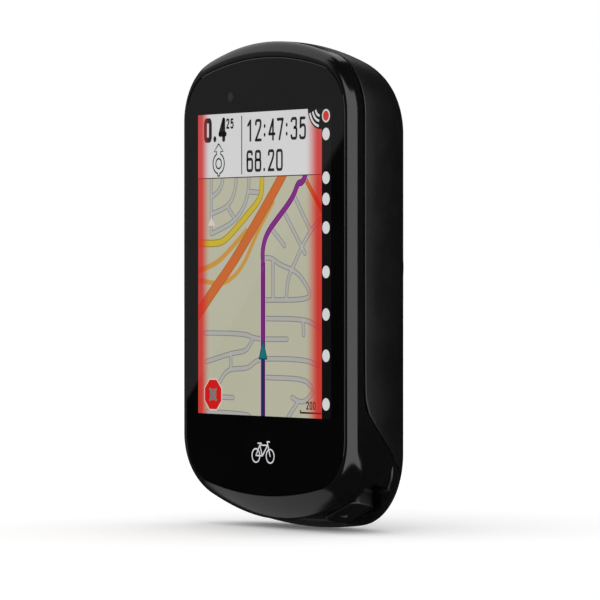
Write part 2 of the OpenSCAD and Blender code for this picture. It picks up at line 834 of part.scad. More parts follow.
module power_button() {
    color(key_colour) power_place() key(power_l, power_w, power_r, power_seat);
}
module power_seal() {
    color(seal_colour) power_place() key_seal(power_l, power_w, power_r, power_seat);
}
module power_switch() { color(switch_colour) power_place() switch_body(power_seat); }
module power_plunger() { color(plunger_colour) power_place() plunger(power_seat); }
module lap_button() { color(key_colour) key_place(-1) key(key_l, key_w, key_r, key_seat); }
module lap_seal() { color(seal_colour) key_place(-1) key_seal(key_l, key_w, key_r, key_seat); }
module lap_switch() { color(switch_colour) key_place(-1) switch_body(key_seat); }
module lap_plunger() { color(plunger_colour) key_place(-1) plunger(key_seat); }
module start_button() { color(key_colour) key_place(1) key(key_l, key_w, key_r, key_seat); }
module start_seal() { color(seal_colour) key_place(1) key_seal(key_l, key_w, key_r, key_seat); }
module start_switch() { color(switch_colour) key_place(1) switch_body(key_seat); }
module start_plunger() { color(plunger_colour) key_place(1) plunger(key_seat); }

// Moves the body so that the centre of the boss's end face is the origin
module place() { translate([0, -boss_y, -mount_z]) children(); }

place() front_housing();
place() rear_cover();
place() case_gasket();
place() cover_glass();
place() glass_adhesive();
place() display_panel();
place() backlight_unit();
place() display_flex();
place() light_sensor();
place() inner_frame();
place() main_board();
place() board_screws();
place() shield_cans();
place() gnss_antenna();
place() battery();
place() battery_pad();
place() battery_leads();
place() buzzer();
place() pressure_sensor();
place() vent_membrane();
place() usb_shell();
place() usb_tongue();
place() usb_seal();
place() usb_cap();
place() cap_anchor();
place() cover_screws();
place() threaded_inserts();
place() mount_insert();
place() mount_screws();
place() power_button();
place() power_seal();
place() power_switch();
place() power_plunger();
place() lap_button();
place() lap_seal();
place() lap_switch();
place() lap_plunger();
place() start_button();
place() start_seal();
place() start_switch();
place() start_plunger();
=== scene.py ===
"""Looks of a handlebar cycling computer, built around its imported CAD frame.

Meshes are written in body millimetres: X to the right, Y from the glass towards the back and
Z up from the middle of the body. place() turns them into the frame's metres.
"""

import json
import math

import bmesh
import bpy
import numpy as np
from mathutils import Matrix, Vector

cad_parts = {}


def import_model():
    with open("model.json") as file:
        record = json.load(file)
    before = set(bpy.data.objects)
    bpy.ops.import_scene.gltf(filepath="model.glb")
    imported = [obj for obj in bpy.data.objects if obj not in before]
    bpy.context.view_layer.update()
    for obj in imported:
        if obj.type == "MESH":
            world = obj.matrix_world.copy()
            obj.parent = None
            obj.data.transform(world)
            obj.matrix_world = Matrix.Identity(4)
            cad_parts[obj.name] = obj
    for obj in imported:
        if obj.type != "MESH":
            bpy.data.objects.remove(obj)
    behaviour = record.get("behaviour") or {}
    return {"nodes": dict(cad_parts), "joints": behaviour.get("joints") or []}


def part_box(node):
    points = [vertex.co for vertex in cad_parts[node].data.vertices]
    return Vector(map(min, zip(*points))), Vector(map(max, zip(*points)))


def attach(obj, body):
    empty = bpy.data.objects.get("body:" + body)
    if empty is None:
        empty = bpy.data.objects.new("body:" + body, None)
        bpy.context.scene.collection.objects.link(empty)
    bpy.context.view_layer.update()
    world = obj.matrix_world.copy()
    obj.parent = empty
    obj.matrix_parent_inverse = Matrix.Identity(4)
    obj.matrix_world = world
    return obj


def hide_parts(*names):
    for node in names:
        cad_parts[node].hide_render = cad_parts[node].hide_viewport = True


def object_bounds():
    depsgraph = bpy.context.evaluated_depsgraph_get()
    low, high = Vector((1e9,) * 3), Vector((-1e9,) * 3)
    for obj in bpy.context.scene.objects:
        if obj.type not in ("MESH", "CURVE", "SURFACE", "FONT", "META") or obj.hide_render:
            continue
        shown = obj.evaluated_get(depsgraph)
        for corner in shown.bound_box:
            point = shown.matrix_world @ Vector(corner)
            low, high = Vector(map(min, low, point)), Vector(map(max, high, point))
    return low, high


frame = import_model()
cad_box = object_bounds()

MM = 0.001

# ---------------------------------------------------------------- sizes taken from the frame


def size_of(node):
    low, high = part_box(node)
    return low / MM, high / MM


housing_low, housing_high = size_of("front_housing")
cover_high = size_of("rear_cover")[1]
glass_low, glass_high = size_of("cover_glass")
insert_low, insert_high = size_of("mount_insert")

HALF_W = (housing_high.x - housing_low.x) / 2
HALF_H = (cad_box[1][2] - cad_box[0][2]) / 2 / MM
MID_Z = (cad_box[0][2] + cad_box[1][2]) / 2 / MM
FRONT_Y = glass_low.y
BODY_D = cover_high.y - FRONT_Y
GLASS_W = (glass_high.x - glass_low.x) / 2
GLASS_TOP = glass_high.z - MID_Z
GLASS_BOTTOM = MID_Z - glass_low.z
GLASS_T = glass_high.y - glass_low.y
BOSS_Z = (insert_high.z + insert_low.z) / 2 - MID_Z
INSERT_R = (insert_high.x - insert_low.x) / 2

# ---------------------------------------------------------------- shape of the body, as in CAD

EDGE_Y, EDGE_IN = 1.6, 1.4
TOP_EDGE_Y, TOP_EDGE_IN = 1.3, 2.4
CHIN_DROP = 1.5
CHIN_Y, CHIN_IN, CHIN_POWER = 3.2, 4.0, 1.35
SHELF_STEP, SHELF_Y0, SHELF_Y1 = 1.0, 3.15, 3.5
LIP_DROP, LIP_Y0, LIP_Y1 = 1.35, 9.4, 9.85
ROUND_Y, TOP_ROUND_Y, SIDE_IN, TOP_IN = 3.9, 2.5, 10.15, 12.2
HEEL_Y, HEEL_IN = 10.6, 5.5
FACE_R, FACE_CORNER_R = 70.3, 8.45
TOP_R, CORNER_R, CORNER_Y, CORNER_IN = 56.0, 10.6, 3.0, 3.1
CHIN_R, SHELF_R, LIP_R, HEEL_R = 53.0, 60.0, 90.0, 105.0
CHIN_CORNER_R, HEEL_CORNER_R = 8.8, 11.2
GLASS_TOP_R, GLASS_BOTTOM_R, GLASS_CORNER_R = 70.0, 80.0, 8.2
WALL = 1.6
CHIN_WALL = 5.0
SEAM_GAP = 0.3
LEDGE_Y, LEDGE_W, LEDGE_BACK = GLASS_T + 0.2, 1.75, 2.5
# Side view of the parting line: depth and height, straight down and then slanting backwards
SEAM = [(2.9, HALF_H + 9), (2.9, -17.0), (3.15, -19.8), (4.0, -21.7), (6.9, -25.3),
        (11.0, -29.8), (20.0, -39.2)]


def bulge(t):
    """Depth of an elliptical rounding after a fraction t of its length."""
    return 1 - np.sqrt(1 - np.clip(t, 0, 1) ** 2)


def smooth(t):
    t = np.clip(t, 0, 1)
    return t * t * (3 - 2 * t)


def side_at(y):
    return (HALF_W - EDGE_IN * bulge((EDGE_Y - y) / EDGE_Y)
            - SIDE_IN * bulge((y - ROUND_Y) / (BODY_D - ROUND_Y)))


def top_at(y):
    return (HALF_H - TOP_EDGE_IN * bulge((TOP_EDGE_Y - y) / TOP_EDGE_Y)
            - TOP_IN * bulge((y - TOP_ROUND_Y) / (BODY_D - TOP_ROUND_Y)))


def past_edge(y):
    """Grows from 0 at the front face to 1 past the rounded top edge."""
    return 1 - bulge((TOP_EDGE_Y - y) / TOP_EDGE_Y)


def top_radius(y):
    front = FACE_R + (TOP_R - FACE_R) * past_edge(y)
    return np.where(y < TOP_EDGE_Y, front, TOP_R - (HALF_H - top_at(y)))


def top_corner(y):
    corner = CORNER_R - CORNER_IN * np.clip((y - CORNER_Y) / (BODY_D - CORNER_Y), 0, 1)
    return FACE_CORNER_R + (corner - FACE_CORNER_R) * past_edge(y)


def bottom_at(y):
    chin = HALF_H - CHIN_DROP
    front = chin - CHIN_IN * np.clip((CHIN_Y - y) / CHIN_Y, 0, 1) ** CHIN_POWER
    shelf = np.interp(y, [SHELF_Y1, LIP_Y0], [chin - SHELF_STEP, HALF_H - LIP_DROP])
    lip = np.interp(y, [LIP_Y1, HEEL_Y], [HALF_H - 0.15, HALF_H])
    drop = front + (shelf - front) * smooth((y - SHELF_Y0) / (SHELF_Y1 - SHELF_Y0))
    drop = drop + (lip - drop) * smooth((y - LIP_Y0) / (LIP_Y1 - LIP_Y0))
    return drop - HEEL_IN * bulge((y - HEEL_Y) / (BODY_D - HEEL_Y))


def bottom_radius(y):
    return np.interp(y, [0, CHIN_Y, SHELF_Y1, LIP_Y0, HEEL_Y],
                     [GLASS_BOTTOM_R, CHIN_R, SHELF_R, LIP_R, HEEL_R])


def bottom_corner(y):
    return np.interp(y, [0, CHIN_Y, HEEL_Y], [FACE_CORNER_R, CHIN_CORNER_R, HEEL_CORNER_R])


def chaikin(points, rounds):
    """Cuts the corners of an open line, so that it turns smoothly."""
    p = np.array(points, float)
    for _ in range(rounds):
        a, b = p[:-1], p[1:]
        cut = np.stack([a * 0.75 + b * 0.25, a * 0.25 + b * 0.75], 1).reshape(-1, p.shape[1])
        p = np.vstack([p[:1], cut, p[-1:]])
    return p


SEAM_LINE = chaikin(SEAM, 4)[::-1]


def seam_depth(z):
    return np.interp(z, SEAM_LINE[:, 1], SEAM_LINE[:, 0])


class Columns:
    """Places round the outline, counter-clockwise from the right as seen from the front."""

    STRAIGHT, CORNER, ARC = 0, 1, 2

    def __init__(self, straight=18, corner=20, arc=16):
        steps = ([(self.STRAIGHT, i / straight) for i in range(straight)]
                 + [(self.CORNER, i / corner) for i in range(corner)]
                 + [(self.ARC, i / arc) for i in range(arc + 1)])
        turns = [(1, 1, steps), (-1, 1, steps[::-1][1:]),
                 (-1, -1, steps[1:]), (1, -1, steps[::-1][1:-1])]
        rows = [(kind, t, sx, sz) for sx, sz, part in turns for kind, t in part]
        self.kind = np.array([r[0] for r in rows])
        self.t = np.array([r[1] for r in rows], float)
        self.sx = np.array([r[2] for r in rows], float)
        self.sz = np.array([r[3] for r in rows], float)
        self.count = len(rows)

    def ring(self, w, top, bottom, top_R, top_r, bottom_R, bottom_r):
        """X and Z of every column on an outline of corner arcs and wide arcs."""
        up = self.sz > 0
        h = np.where(up, top, bottom)
        R = np.where(up, top_R, bottom_R)
        r = np.maximum(np.where(up, top_r, bottom_r), 0.5)
        t = self.t
        mid = h - R
        cz = mid + np.sqrt((R - r) ** 2 - (w - r) ** 2)
        turn = np.arctan2(cz - mid, w - r)
        corner = turn * t
        wide = turn + (math.pi / 2 - turn) * t
        x = np.choose(self.kind, [w + 0 * t, w - r + r * np.cos(corner), R * np.cos(wide)])
        z = np.choose(self.kind, [cz * t, cz + r * np.sin(corner), mid + R * np.sin(wide)])
        return x * self.sx, z * self.sz


COLUMNS = Columns()


def skin(p, inset_side=0.0, inset_end=None):
    """Points of the body's skin at path depth p, one per column.

    Past the body's depth the path runs inwards over the flat back.
    """
    p = np.broadcast_to(np.asarray(p, float), (COLUMNS.count,))
    inset_end = inset_side if inset_end is None else inset_end
    y = np.minimum(p, BODY_D)
    spread = np.maximum(p - BODY_D, 0)
    side, end = inset_side + spread, inset_end + spread
    top = top_at(y)
    x, z = COLUMNS.ring(side_at(y) - side, top - side, bottom_at(y) - end,
                        top_radius(y) - side, top_corner(y) - side,
                        bottom_radius(y) - end, bottom_corner(y) - side)
    return np.stack([x, y, z], 1)


def lining(p, wall, end_wall=None):
    """Inner side of a housing wall: the rounding is squeezed to leave a flat inner back."""
    y = np.minimum(p, BODY_D)
    squeezed = np.where(y < ROUND_Y, y,
                        ROUND_Y + (y - ROUND_Y) * (BODY_D - wall - ROUND_Y) / (BODY_D - ROUND_Y))
    points = skin(p, wall, end_wall)
    points[:, 1] = squeezed
    return points


def glass_ring(y, grow):
    x, z = COLUMNS.ring(GLASS_W + grow, GLASS_TOP + grow, GLASS_BOTTOM + grow,
                        GLASS_TOP_R + grow, GLASS_CORNER_R + grow,
                        GLASS_BOTTOM_R + grow, GLASS_CORNER_R + grow)
    return np.stack([x, np.full(COLUMNS.count, float(y)), z], 1)


def seam_path():
    """Path depth at which each column crosses the parting line."""
    depths = np.arange(0, BODY_D + 3, 0.02)
    past = np.full((len(depths), COLUMNS.count), 0.0)
    for k, p in enumerate(depths):
        points = skin(p)
        past[k] = points[:, 1] + np.maximum(p - BODY_D, 0) * 0.01 - seam_depth(points[:, 2])
    first = (past > 0).argmax(0)
    rows = np.arange(COLUMNS.count)
    a, b = past[first - 1, rows], past[first, rows]
    return depths[first - 1] + (depths[first] - depths[first - 1]) * a / (a - b)


# ---------------------------------------------------------------- mesh helpers


def place(points):
    """Body millimetres to the frame's metres."""
    return (np.asarray(points, float) + (0, FRONT_Y, MID_Z)) * MM


def unplace(points):
    return np.asarray(points, float) / MM - (0, FRONT_Y, MID_Z)


def make_object(name, vertices, faces, merge=1e-6):
    """Object from body-millimetre points, with doubled points merged and faces facing out."""
    mesh = bpy.data.meshes.new(name)
    mesh.from_pydata(place(vertices).tolist(), [], faces)
    obj = bpy.data.objects.new(name, mesh)
    bpy.context.scene.collection.objects.link(obj)
    tidy(obj, merge)
    return obj


def tidy(obj, merge=1e-6):
    bm = bmesh.new()
    bm.from_mesh(obj.data)
    bmesh.ops.remove_doubles(bm, verts=bm.verts, dist=merge)
    bmesh.ops.dissolve_degenerate(bm, edges=bm.edges, dist=merge / 10)
    bmesh.ops.recalc_face_normals(bm, faces=bm.faces)
    bm.to_mesh(obj.data)
    bm.free()


def grid(rows, loop_rows=False, caps=True):
    """Vertices and faces of closed rings joined one after another."""
    n = len(rows[0])
    last = len(rows) - 1
    vertices = np.vstack(rows)
    faces = []
    for k in range(last + 1 if loop_rows else last):
        a, b = k * n, (k + 1) % (last + 1) * n
        faces += [(a + j, a + (j + 1) % n, b + (j + 1) % n, b + j) for j in range(n)]
    if caps and not loop_rows:
        faces += [tuple(range(n)), tuple(last * n + j for j in range(n))]
    return vertices, faces


def shade(obj, angle=35):
    """Smooth shading that breaks at edges sharper than angle degrees."""
    for polygon in obj.data.polygons:
        polygon.use_smooth = True
    obj.data.set_sharp_from_angle(angle=math.radians(angle))
    return obj


def cut(obj, *cutters):
    """Takes the cutters out of obj and removes them."""
    for cutter in cutters:
        modifier = obj.modifiers.new("cut", "BOOLEAN")
        modifier.operation = "DIFFERENCE"
        modifier.solver = "EXACT"
        modifier.object = cutter
        bpy.context.view_layer.update()
        evaluated = obj.evaluated_get(bpy.context.evaluated_depsgraph_get())
        result = bpy.data.meshes.new_from_object(evaluated)
        obj.modifiers.clear()
        obj.data = result
        bpy.data.objects.remove(cutter)
    tidy(obj)
    return obj


def bar_outline(l, w, r, steps=8):
    """Outline of a bar with rounded corners, counter-clockwise."""
    r = min(r, l / 2 - 1e-3, w / 2 - 1e-3)
    points = []
    for k, (sx, sy) in enumerate([(1, 1), (-1, 1), (-1, -1), (1, -1)]):
        for i in range(steps + 1):
            a = math.radians(90 * (k + i / steps))
            points.append((sx * (l / 2 - r) + r * math.cos(a),
                           sy * (w / 2 - r) + r * math.sin(a)))
    return np.array(points)


def bar_rows(l, w, r, rows):
    """Rings of a bar along X; each row is its height and how far it is drawn in."""
    out = []
    for z, inset in rows:
        inset = min(inset, w / 2 - 0.05)
        q = bar_outline(l - 2 * inset, w - 2 * inset, max(r - inset, 0.05))
        out.append(np.column_stack([q, np.full(len(q), z)]))
    return out


def solid(name, rows, matrix=Matrix.Identity(4)):
    """Object from closed rings given in a local millimetre frame."""
    vertices, faces = grid(rows)
    return make_object(name, transformed(vertices, matrix), faces)


def transformed(points, matrix):
    m = np.array(matrix)
    return np.asarray(points) @ m[:3, :3].T + m[:3, 3]


def circle_rows(rows, steps=64):
    """Rings about the local Z axis; each row is its height and its radius."""
    a = np.linspace(0, 2 * math.pi, steps, endpoint=False)
    return [np.column_stack([r * np.cos(a), r * np.sin(a), np.full(steps, z)]) for z, r in rows]


def back_frame(x, y, z):
    """Local Z points out of the back, from the point x, y, z."""
    return Matrix.Translation((x, y, z)) @ Matrix.Rotation(math.radians(-90), 4, "X")


def fillet(radius, steps=4):
    """Rows of a rounded edge: height from the face, and how far it is drawn in."""
    angles = [math.radians(90 * i / steps) for i in range(steps + 1)]
    return [(radius * (1 - math.sin(a)), radius * (1 - math.cos(a))) for a in reversed(angles)]


# ---------------------------------------------------------------- moving keys, from the joints


class Key:
    """A press key's local frame: Z inwards along its joint, the face centre at the origin."""

    def __init__(self, node, joint):
        axis = Vector(next(j["axis"] for j in frame["joints"] if j["name"] == joint))
        z = axis.normalized()
        x = Vector((0, 1, 0)).cross(z).normalized()
        y = z.cross(x)
        turn = Matrix((x, y, z)).transposed()
        points = unplace([v.co for v in frame["nodes"][node].data.vertices])
        local = points @ np.array(turn)
        face = local[local[:, 2] < local[:, 2].min() + 0.5]
        low, high = face.min(0), face.max(0)
        centre = Vector(((low[0] + high[0]) / 2, (low[1] + high[1]) / 2, low[2]))
        self.length, self.width = high[0] - low[0], high[1] - low[1]
        self.deep = local[:, 2].max() - low[2]
        self.matrix = Matrix.Translation(turn @ centre) @ turn.to_4x4()


KEYS = {
    "power": Key("power_button", "power_press"),
    "lap": Key("lap_button", "lap_press"),
    "start": Key("start_button", "start_press"),
}
KEY_R = {"power": 1.6, "lap": 1.4, "start": 1.4}
KEY_SEAT = {"power": 2.25, "lap": 3.4, "start": 3.4}


# ---------------------------------------------------------------- materials


class Nodes:
    """Short way to build a node tree: every call adds a node and returns its first output."""

    def __init__(self, tree):
        self.tree = tree

    def add(self, kind, **settings):
        node = self.tree.nodes.new(kind)
        for key, value in settings.items():
            setattr(node, key, value)
        return node

    def link(self, value, socket):
        if isinstance(value, bpy.types.NodeSocket):
            self.tree.links.new(value, socket)
        else:
            socket.default_value = value

    def math(self, operation, a, b=0.0, clamp=False):
        node = self.add("ShaderNodeMath", operation=operation, use_clamp=clamp)
        self.link(a, node.inputs[0])
        self.link(b, node.inputs[1])
        return node.outputs[0]

    def ramp(self, value, low, high, to_low=0.0, to_high=1.0):
        node = self.add("ShaderNodeMapRange", interpolation_type="SMOOTHSTEP")
        self.link(value, node.inputs[0])
        for k, number in enumerate((low, high, to_low, to_high)):
            self.link(number, node.inputs[k + 1])
        return node.outputs[0]

    def mix(self, factor, a, b, blend="MIX"):
        node = self.add("ShaderNodeMix", data_type="RGBA", blend_type=blend)
        self.link(factor, node.inputs[0])
        self.link(a, node.inputs[6])
        self.link(b, node.inputs[7])
        return node.outputs[2]

    def noise(self, place_at, scale, detail=3.0):
        node = self.add("ShaderNodeTexNoise")
        self.link(place_at, node.inputs["Vector"])
        node.inputs["Scale"].default_value = scale
        node.inputs["Detail"].default_value = detail
        return node.outputs["Fac"]

    def stretched(self, place_at, scale):
        node = self.add("ShaderNodeMapping")
        self.link(place_at, node.inputs["Vector"])
        node.inputs["Scale"].default_value = scale
        return node.outputs[0]

    def bump(self, height, strength, distance):
        node = self.add("ShaderNodeBump")
        node.inputs["Strength"].default_value = strength
        node.inputs["Distance"].default_value = distance
        self.link(height, node.inputs["Height"])
        return node.outputs[0]


def rgb(*values):
    """Linear colour from 0-255 display values."""
    def linear(v):
        c = v / 255
        return c / 12.92 if c <= 0.04045 else ((c + 0.055) / 1.055) ** 2.4
    return (linear(values[0]), linear(values[1]), linear(values[2]), 1.0)


def start(name):
    mat = bpy.data.materials.new(name)
    mat.use_nodes = True
    nodes = Nodes(mat.node_tree)
    shader = mat.node_tree.nodes["Principled BSDF"]
    at = nodes.add("ShaderNodeTexCoord").outputs["Object"]
    return mat, nodes, shader, at


def surface(name, colour, roughness, spread=0.25, rough_spread=0.08, grain=2500.0, bump=0.0,
            bump_mm=0.01, patch=220.0, metallic=0.0, coat=0.0, coat_rough=0.05, specular=0.5,
            stretch=(1, 1, 1)):
    """A procedural finish: patchy colour, uneven roughness and a fine grain in the surface."""
    mat, nodes, shader, at = start(name)
    at = nodes.stretched(at, stretch)
    patches = nodes.noise(at, patch, 4.0)
    fine = nodes.noise(at, grain, 2.0)
    dark = tuple(c * (1 - spread) for c in colour[:3]) + (1.0,)
    light = tuple(min(c * (1 + spread), 1) for c in colour[:3]) + (1.0,)
    blend = nodes.math("ADD", nodes.math("MULTIPLY", patches, 0.6),
                       nodes.math("MULTIPLY", fine, 0.4))
    nodes.link(nodes.mix(nodes.ramp(blend, 0.3, 0.7), dark, light), shader.inputs["Base Color"])
    nodes.link(nodes.ramp(blend, 0.25, 0.75, roughness - rough_spread, roughness + rough_spread),
               shader.inputs["Roughness"])
    shader.inputs["Metallic"].default_value = metallic
    shader.inputs["Specular IOR Level"].default_value = specular
    shader.inputs["Coat Weight"].default_value = coat
    shader.inputs["Coat Roughness"].default_value = coat_rough
    if bump:
        nodes.link(nodes.bump(fine, bump, bump_mm * MM), shader.inputs["Normal"])
    return mat


def spark_texture(name, colour, roughness, specular=0.5):
    """Fine spark-eroded mould texture of a matte cover: small rounded pits between bumps, with
    painted shade that darkens the colour in the pits.
    """
    mat, nodes, shader, at = start(name)
    cells = nodes.add("ShaderNodeTexVoronoi", feature="SMOOTH_F1")
    nodes.link(at, cells.inputs["Vector"])
    cells.inputs["Scale"].default_value = 3200.0
    patches = nodes.noise(at, 160.0, 4.0)
    pits = cells.outputs["Distance"]
    dark = tuple(c * 0.7 for c in colour[:3]) + (1.0,)
    light = tuple(c * 1.4 for c in colour[:3]) + (1.0,)
    # Painted shade: the tone is darker in the pits and lighter on the bumps, mixed with random
    # patches
    tone = nodes.math("ADD", nodes.math("MULTIPLY", pits, 0.5),
                      nodes.math("MULTIPLY", patches, 0.5))
    nodes.link(nodes.mix(nodes.ramp(tone, 0.3, 0.65), dark, light), shader.inputs["Base Color"])
    nodes.link(nodes.ramp(patches, 0.3, 0.7, roughness - 0.03, roughness + 0.03),
               shader.inputs["Roughness"])
    shader.inputs["Specular IOR Level"].default_value = specular
    nodes.link(nodes.bump(pits, 0.25, 0.02 * MM), shader.inputs["Normal"])
    return mat


# Finish of every sealed-in node: colour, roughness and other settings of surface()
STEEL = dict(colour=(0.5, 0.5, 0.52), roughness=0.3, metallic=1.0, stretch=(1, 1, 6), bump=0.1)
RUBBER = dict(colour=(0.012, 0.012, 0.013), roughness=0.62, bump=0.15)
NODE_LOOKS = {
    "case_gasket": dict(RUBBER, colour=(0.004, 0.004, 0.004)),
    "glass_adhesive": dict(RUBBER, colour=(0.01, 0.01, 0.01)),
    "display_panel": dict(colour=(0.5, 0.5, 0.48), roughness=0.15, spread=0.04),
    "backlight_unit": dict(colour=(0.8, 0.8, 0.78), roughness=0.4, spread=0.04),
    "display_flex": dict(colour=(0.5, 0.2, 0.03), roughness=0.25, stretch=(8, 1, 1)),
    "light_sensor": dict(colour=(0.03, 0.03, 0.035), roughness=0.1),
    "inner_frame": dict(colour=(0.06, 0.062, 0.066), roughness=0.5, bump=0.3),
    "main_board": dict(colour=(0.01, 0.09, 0.03), roughness=0.3, patch=700.0),
    "board_screws": STEEL,
    "shield_cans": dict(STEEL, colour=(0.55, 0.56, 0.57), roughness=0.38),
    "gnss_antenna": dict(colour=(0.55, 0.48, 0.36), roughness=0.45, bump=0.2),
    "battery": dict(colour=(0.4, 0.41, 0.43), roughness=0.35, metallic=0.9, bump=0.2),
    "battery_pad": dict(RUBBER, roughness=0.9, bump=0.6),
    "battery_leads": dict(colour=(0.35, 0.02, 0.015), roughness=0.45),
    "buzzer": dict(colour=(0.02, 0.02, 0.02), roughness=0.4),
    "pressure_sensor": STEEL,
    "vent_membrane": dict(colour=(0.75, 0.75, 0.74), roughness=0.9, bump=0.5, spread=0.08),
    "usb_shell": dict(STEEL, roughness=0.25),
    "usb_tongue": dict(colour=(0.01, 0.01, 0.01), roughness=0.4),
    "usb_seal": dict(RUBBER, colour=(0.03, 0.03, 0.033)),
    "cap_anchor": RUBBER,
    "cover_screws": dict(STEEL, colour=(0.07, 0.07, 0.075), roughness=0.32),
    "threaded_inserts": dict(STEEL, colour=(0.65, 0.42, 0.14)),
    "mount_insert": dict(colour=(0.009, 0.009, 0.01), roughness=0.4, bump=0.35, bump_mm=0.012),
    "mount_screws": dict(STEEL, colour=(0.32, 0.32, 0.34), roughness=0.3),
}
for side_key in KEYS:
    NODE_LOOKS[side_key + "_seal"] = dict(RUBBER, colour=(0.025, 0.025, 0.027))
    NODE_LOOKS[side_key + "_switch"] = STEEL
    NODE_LOOKS[side_key + "_plunger"] = dict(colour=(0.6, 0.57, 0.45), roughness=0.4, spread=0.1)

GLOSS = surface("gloss_black", (0.0035, 0.0035, 0.0038), 0.16, spread=0.3, rough_spread=0.015,
                patch=90.0, bump=0.015, bump_mm=0.02, specular=0.5)
MATTE = spark_texture("matte_cover", (0.0052, 0.0052, 0.0055), 0.44)
KEY_LOOK = surface("key_satin", (0.006, 0.006, 0.0065), 0.34, rough_spread=0.03, bump=0.1)
CAP_LOOK = surface("cap_rubber", (0.008, 0.008, 0.0085), 0.42, rough_spread=0.05, bump=0.12)


def wear(obj, mat):
    """Gives obj one material."""
    obj.data.materials.clear()
    obj.data.materials.append(mat)
    return obj


def soften(obj, width, segments=2):
    """Rounds the edges of a carried-over CAD node without touching its own mesh."""
    weld = obj.modifiers.new("weld", "WELD")
    weld.merge_threshold = 1e-6
    bevel = obj.modifiers.new("bevel", "BEVEL")
    bevel.width = width * MM
    bevel.segments = segments
    bevel.limit_method = "ANGLE"
    bevel.angle_limit = math.radians(40)
    bevel.use_clamp_overlap = True


SOFT_EDGES = {"mount_insert": 0.15, "cover_screws": 0.06, "mount_screws": 0.06,
              "usb_shell": 0.08, "cap_anchor": 0.1, "battery": 0.4}


def dress_nodes():
    for name, look in NODE_LOOKS.items():
        node = frame["nodes"][name]
        wear(node, surface(name + "_finish", **look))
        if name in SOFT_EDGES:
            soften(node, SOFT_EDGES[name])


# ---------------------------------------------------------------- housings

OUTER = [0.0, 0.04, 0.1, 0.2, 0.35, 0.55, 0.8, 1.1, 1.4, 1.6, 1.9, 2.2, 2.5, 2.75, 2.95, 3.08,
         3.15, 3.22, 3.3, 3.38, 3.45, 3.55, 3.8, 4.2, 4.7, 5.3, 6.0, 6.7, 7.4, 8.1, 8.7, 9.1,
         9.3, 9.4, 9.48, 9.56, 9.64, 9.72, 9.8, 9.9, 10.2, 10.6, 11.1, 11.7, 12.3, 12.9, 13.4,
         13.9, 14.3, 14.7, 15.0, 15.25, 15.5, 15.7, 15.85, 15.97, 16.06, 16.12, 16.17, 16.2]
BACK = [0.15, 0.4, 0.8, 1.4]
SEAM_P = seam_path()
SEAM_R = 0.15
GLASS_GAP = 0.07


def key_matrix(key, depth=0.0):
    return KEYS[key].matrix @ Matrix.Translation((0, 0, depth))


# Play around a key in its guide hole, and the extra size and depth of its flange's chamber
KEY_PLAY, CHAMBER_PLAY, CHAMBER_DEPTH = 0.16, 1.7, 2.2
# Hollow beyond the outer end of a bottom key: its depth from the key's face, how far out it
# reaches, and its width; then the same for the trench around the key
SCOOP_IN, SCOOP = 0.5, ((2.75, 5.6, 4.9), (2.3, 7.6, 5.1), (1.8, 9.5, 5.3), (1.0, 11.2, 5.4),
                        (-2.5, 16.0, 5.6))
TRENCH_IN, TRENCH = 3.0, ((3.9, 5.25, 4.7), (-2, 5.25, 4.7))
SCOOP_CORNER_R = 1.5


def around_key(name, key, play, heights):
    """Straight cutter around a key, larger than it by play, between heights in its frame."""
    k = KEYS[key]
    rows = bar_rows(k.length + play, k.width + play, KEY_R[key] + play / 2, heights)
    return solid(name, rows, k.matrix)


def key_cutters(key):
    """Guide hole of a key and the chamber that its flange moves in."""
    seat = KEY_SEAT[key]
    return [around_key("hole", key, KEY_PLAY, [(-4, 0), (seat + 0.5, 0)]),
            around_key("room", key, CHAMBER_PLAY, [(seat, 0), (seat + CHAMBER_DEPTH, 0)])]


def edge_break(key):
    """Small chamfer around a key's guide hole, for the soft rim of the moulding."""
    return around_key("rim", key, KEY_PLAY, [(0.9, 0), (-0.6, -0.9)])


def scoop(side):
    """Sloping hollow in the underside beyond the outer end of a bottom key, and a trench."""
    k = KEYS["start" if side > 0 else "lap"]
    cutters = []
    for name, inner, table in (("scoop", SCOOP_IN, SCOOP), ("trench", TRENCH_IN, TRENCH)):
        rows = []
        for z, outer, width in table:
            q = bar_outline(outer - inner, width, SCOOP_CORNER_R)
            q[:, 0] = (q[:, 0] + (outer + inner) / 2) * side
            rows.append(np.column_stack([q[::side], np.full(len(q), z)]))
        cutters.append(solid(name, rows, k.matrix))
    return cutters


def front_outer_rows():
    limit = SEAM_P - SEAM_GAP / 2
    rows = [skin(np.minimum(p, limit - SEAM_R)) for p in OUTER]
    rows += [skin(np.minimum(BODY_D + s, limit - SEAM_R)) for s in BACK]
    for k in range(1, 5):
        a = math.radians(22.5 * k)
        rows.append(skin(limit - SEAM_R + SEAM_R * math.sin(a), SEAM_R * (1 - math.cos(a))))
    return rows, limit


def front_housing():
    """Glossy front housing: glass ledge, ring, underside and lower back in one shell."""
    rows = [glass_ring(LEDGE_BACK, -LEDGE_W), glass_ring(LEDGE_Y, -LEDGE_W),
            glass_ring(LEDGE_Y, GLASS_GAP), glass_ring(0.1, GLASS_GAP),
            glass_ring(0.02, GLASS_GAP + 0.04)]
    outer, limit = front_outer_rows()
    rows += outer
    rows.append(skin(limit, 0.6))
    ends = (WALL, CHIN_WALL)
    for p in (16.3, 14.5, 12, 9, 6, 4, LEDGE_BACK):
        rows.append(lining(np.minimum(p, limit), *ends))
    vertices, faces = grid(rows, loop_rows=True)
    obj = make_object("front_housing_shell", vertices, faces)
    return obj


# Port cap: half width low down and at the top, the height where its sides start to lean, its
# front, its inner plane, and the hinge that it turns on
CAP_HALF, CAP_TOP_HALF, CAP_BEND = 10.6, 9.8, -39.77
CAP_FRONT, CAP_TOP = 3.8, -37.8
HINGE = next(j for j in frame["joints"] if j["name"] == "port_cap_hinge")["pos_m"]
HINGE_Y, HINGE_Z = (unplace(HINGE)[1], unplace(HINGE)[2])
ROLL_R = CAP_TOP - HINGE_Z
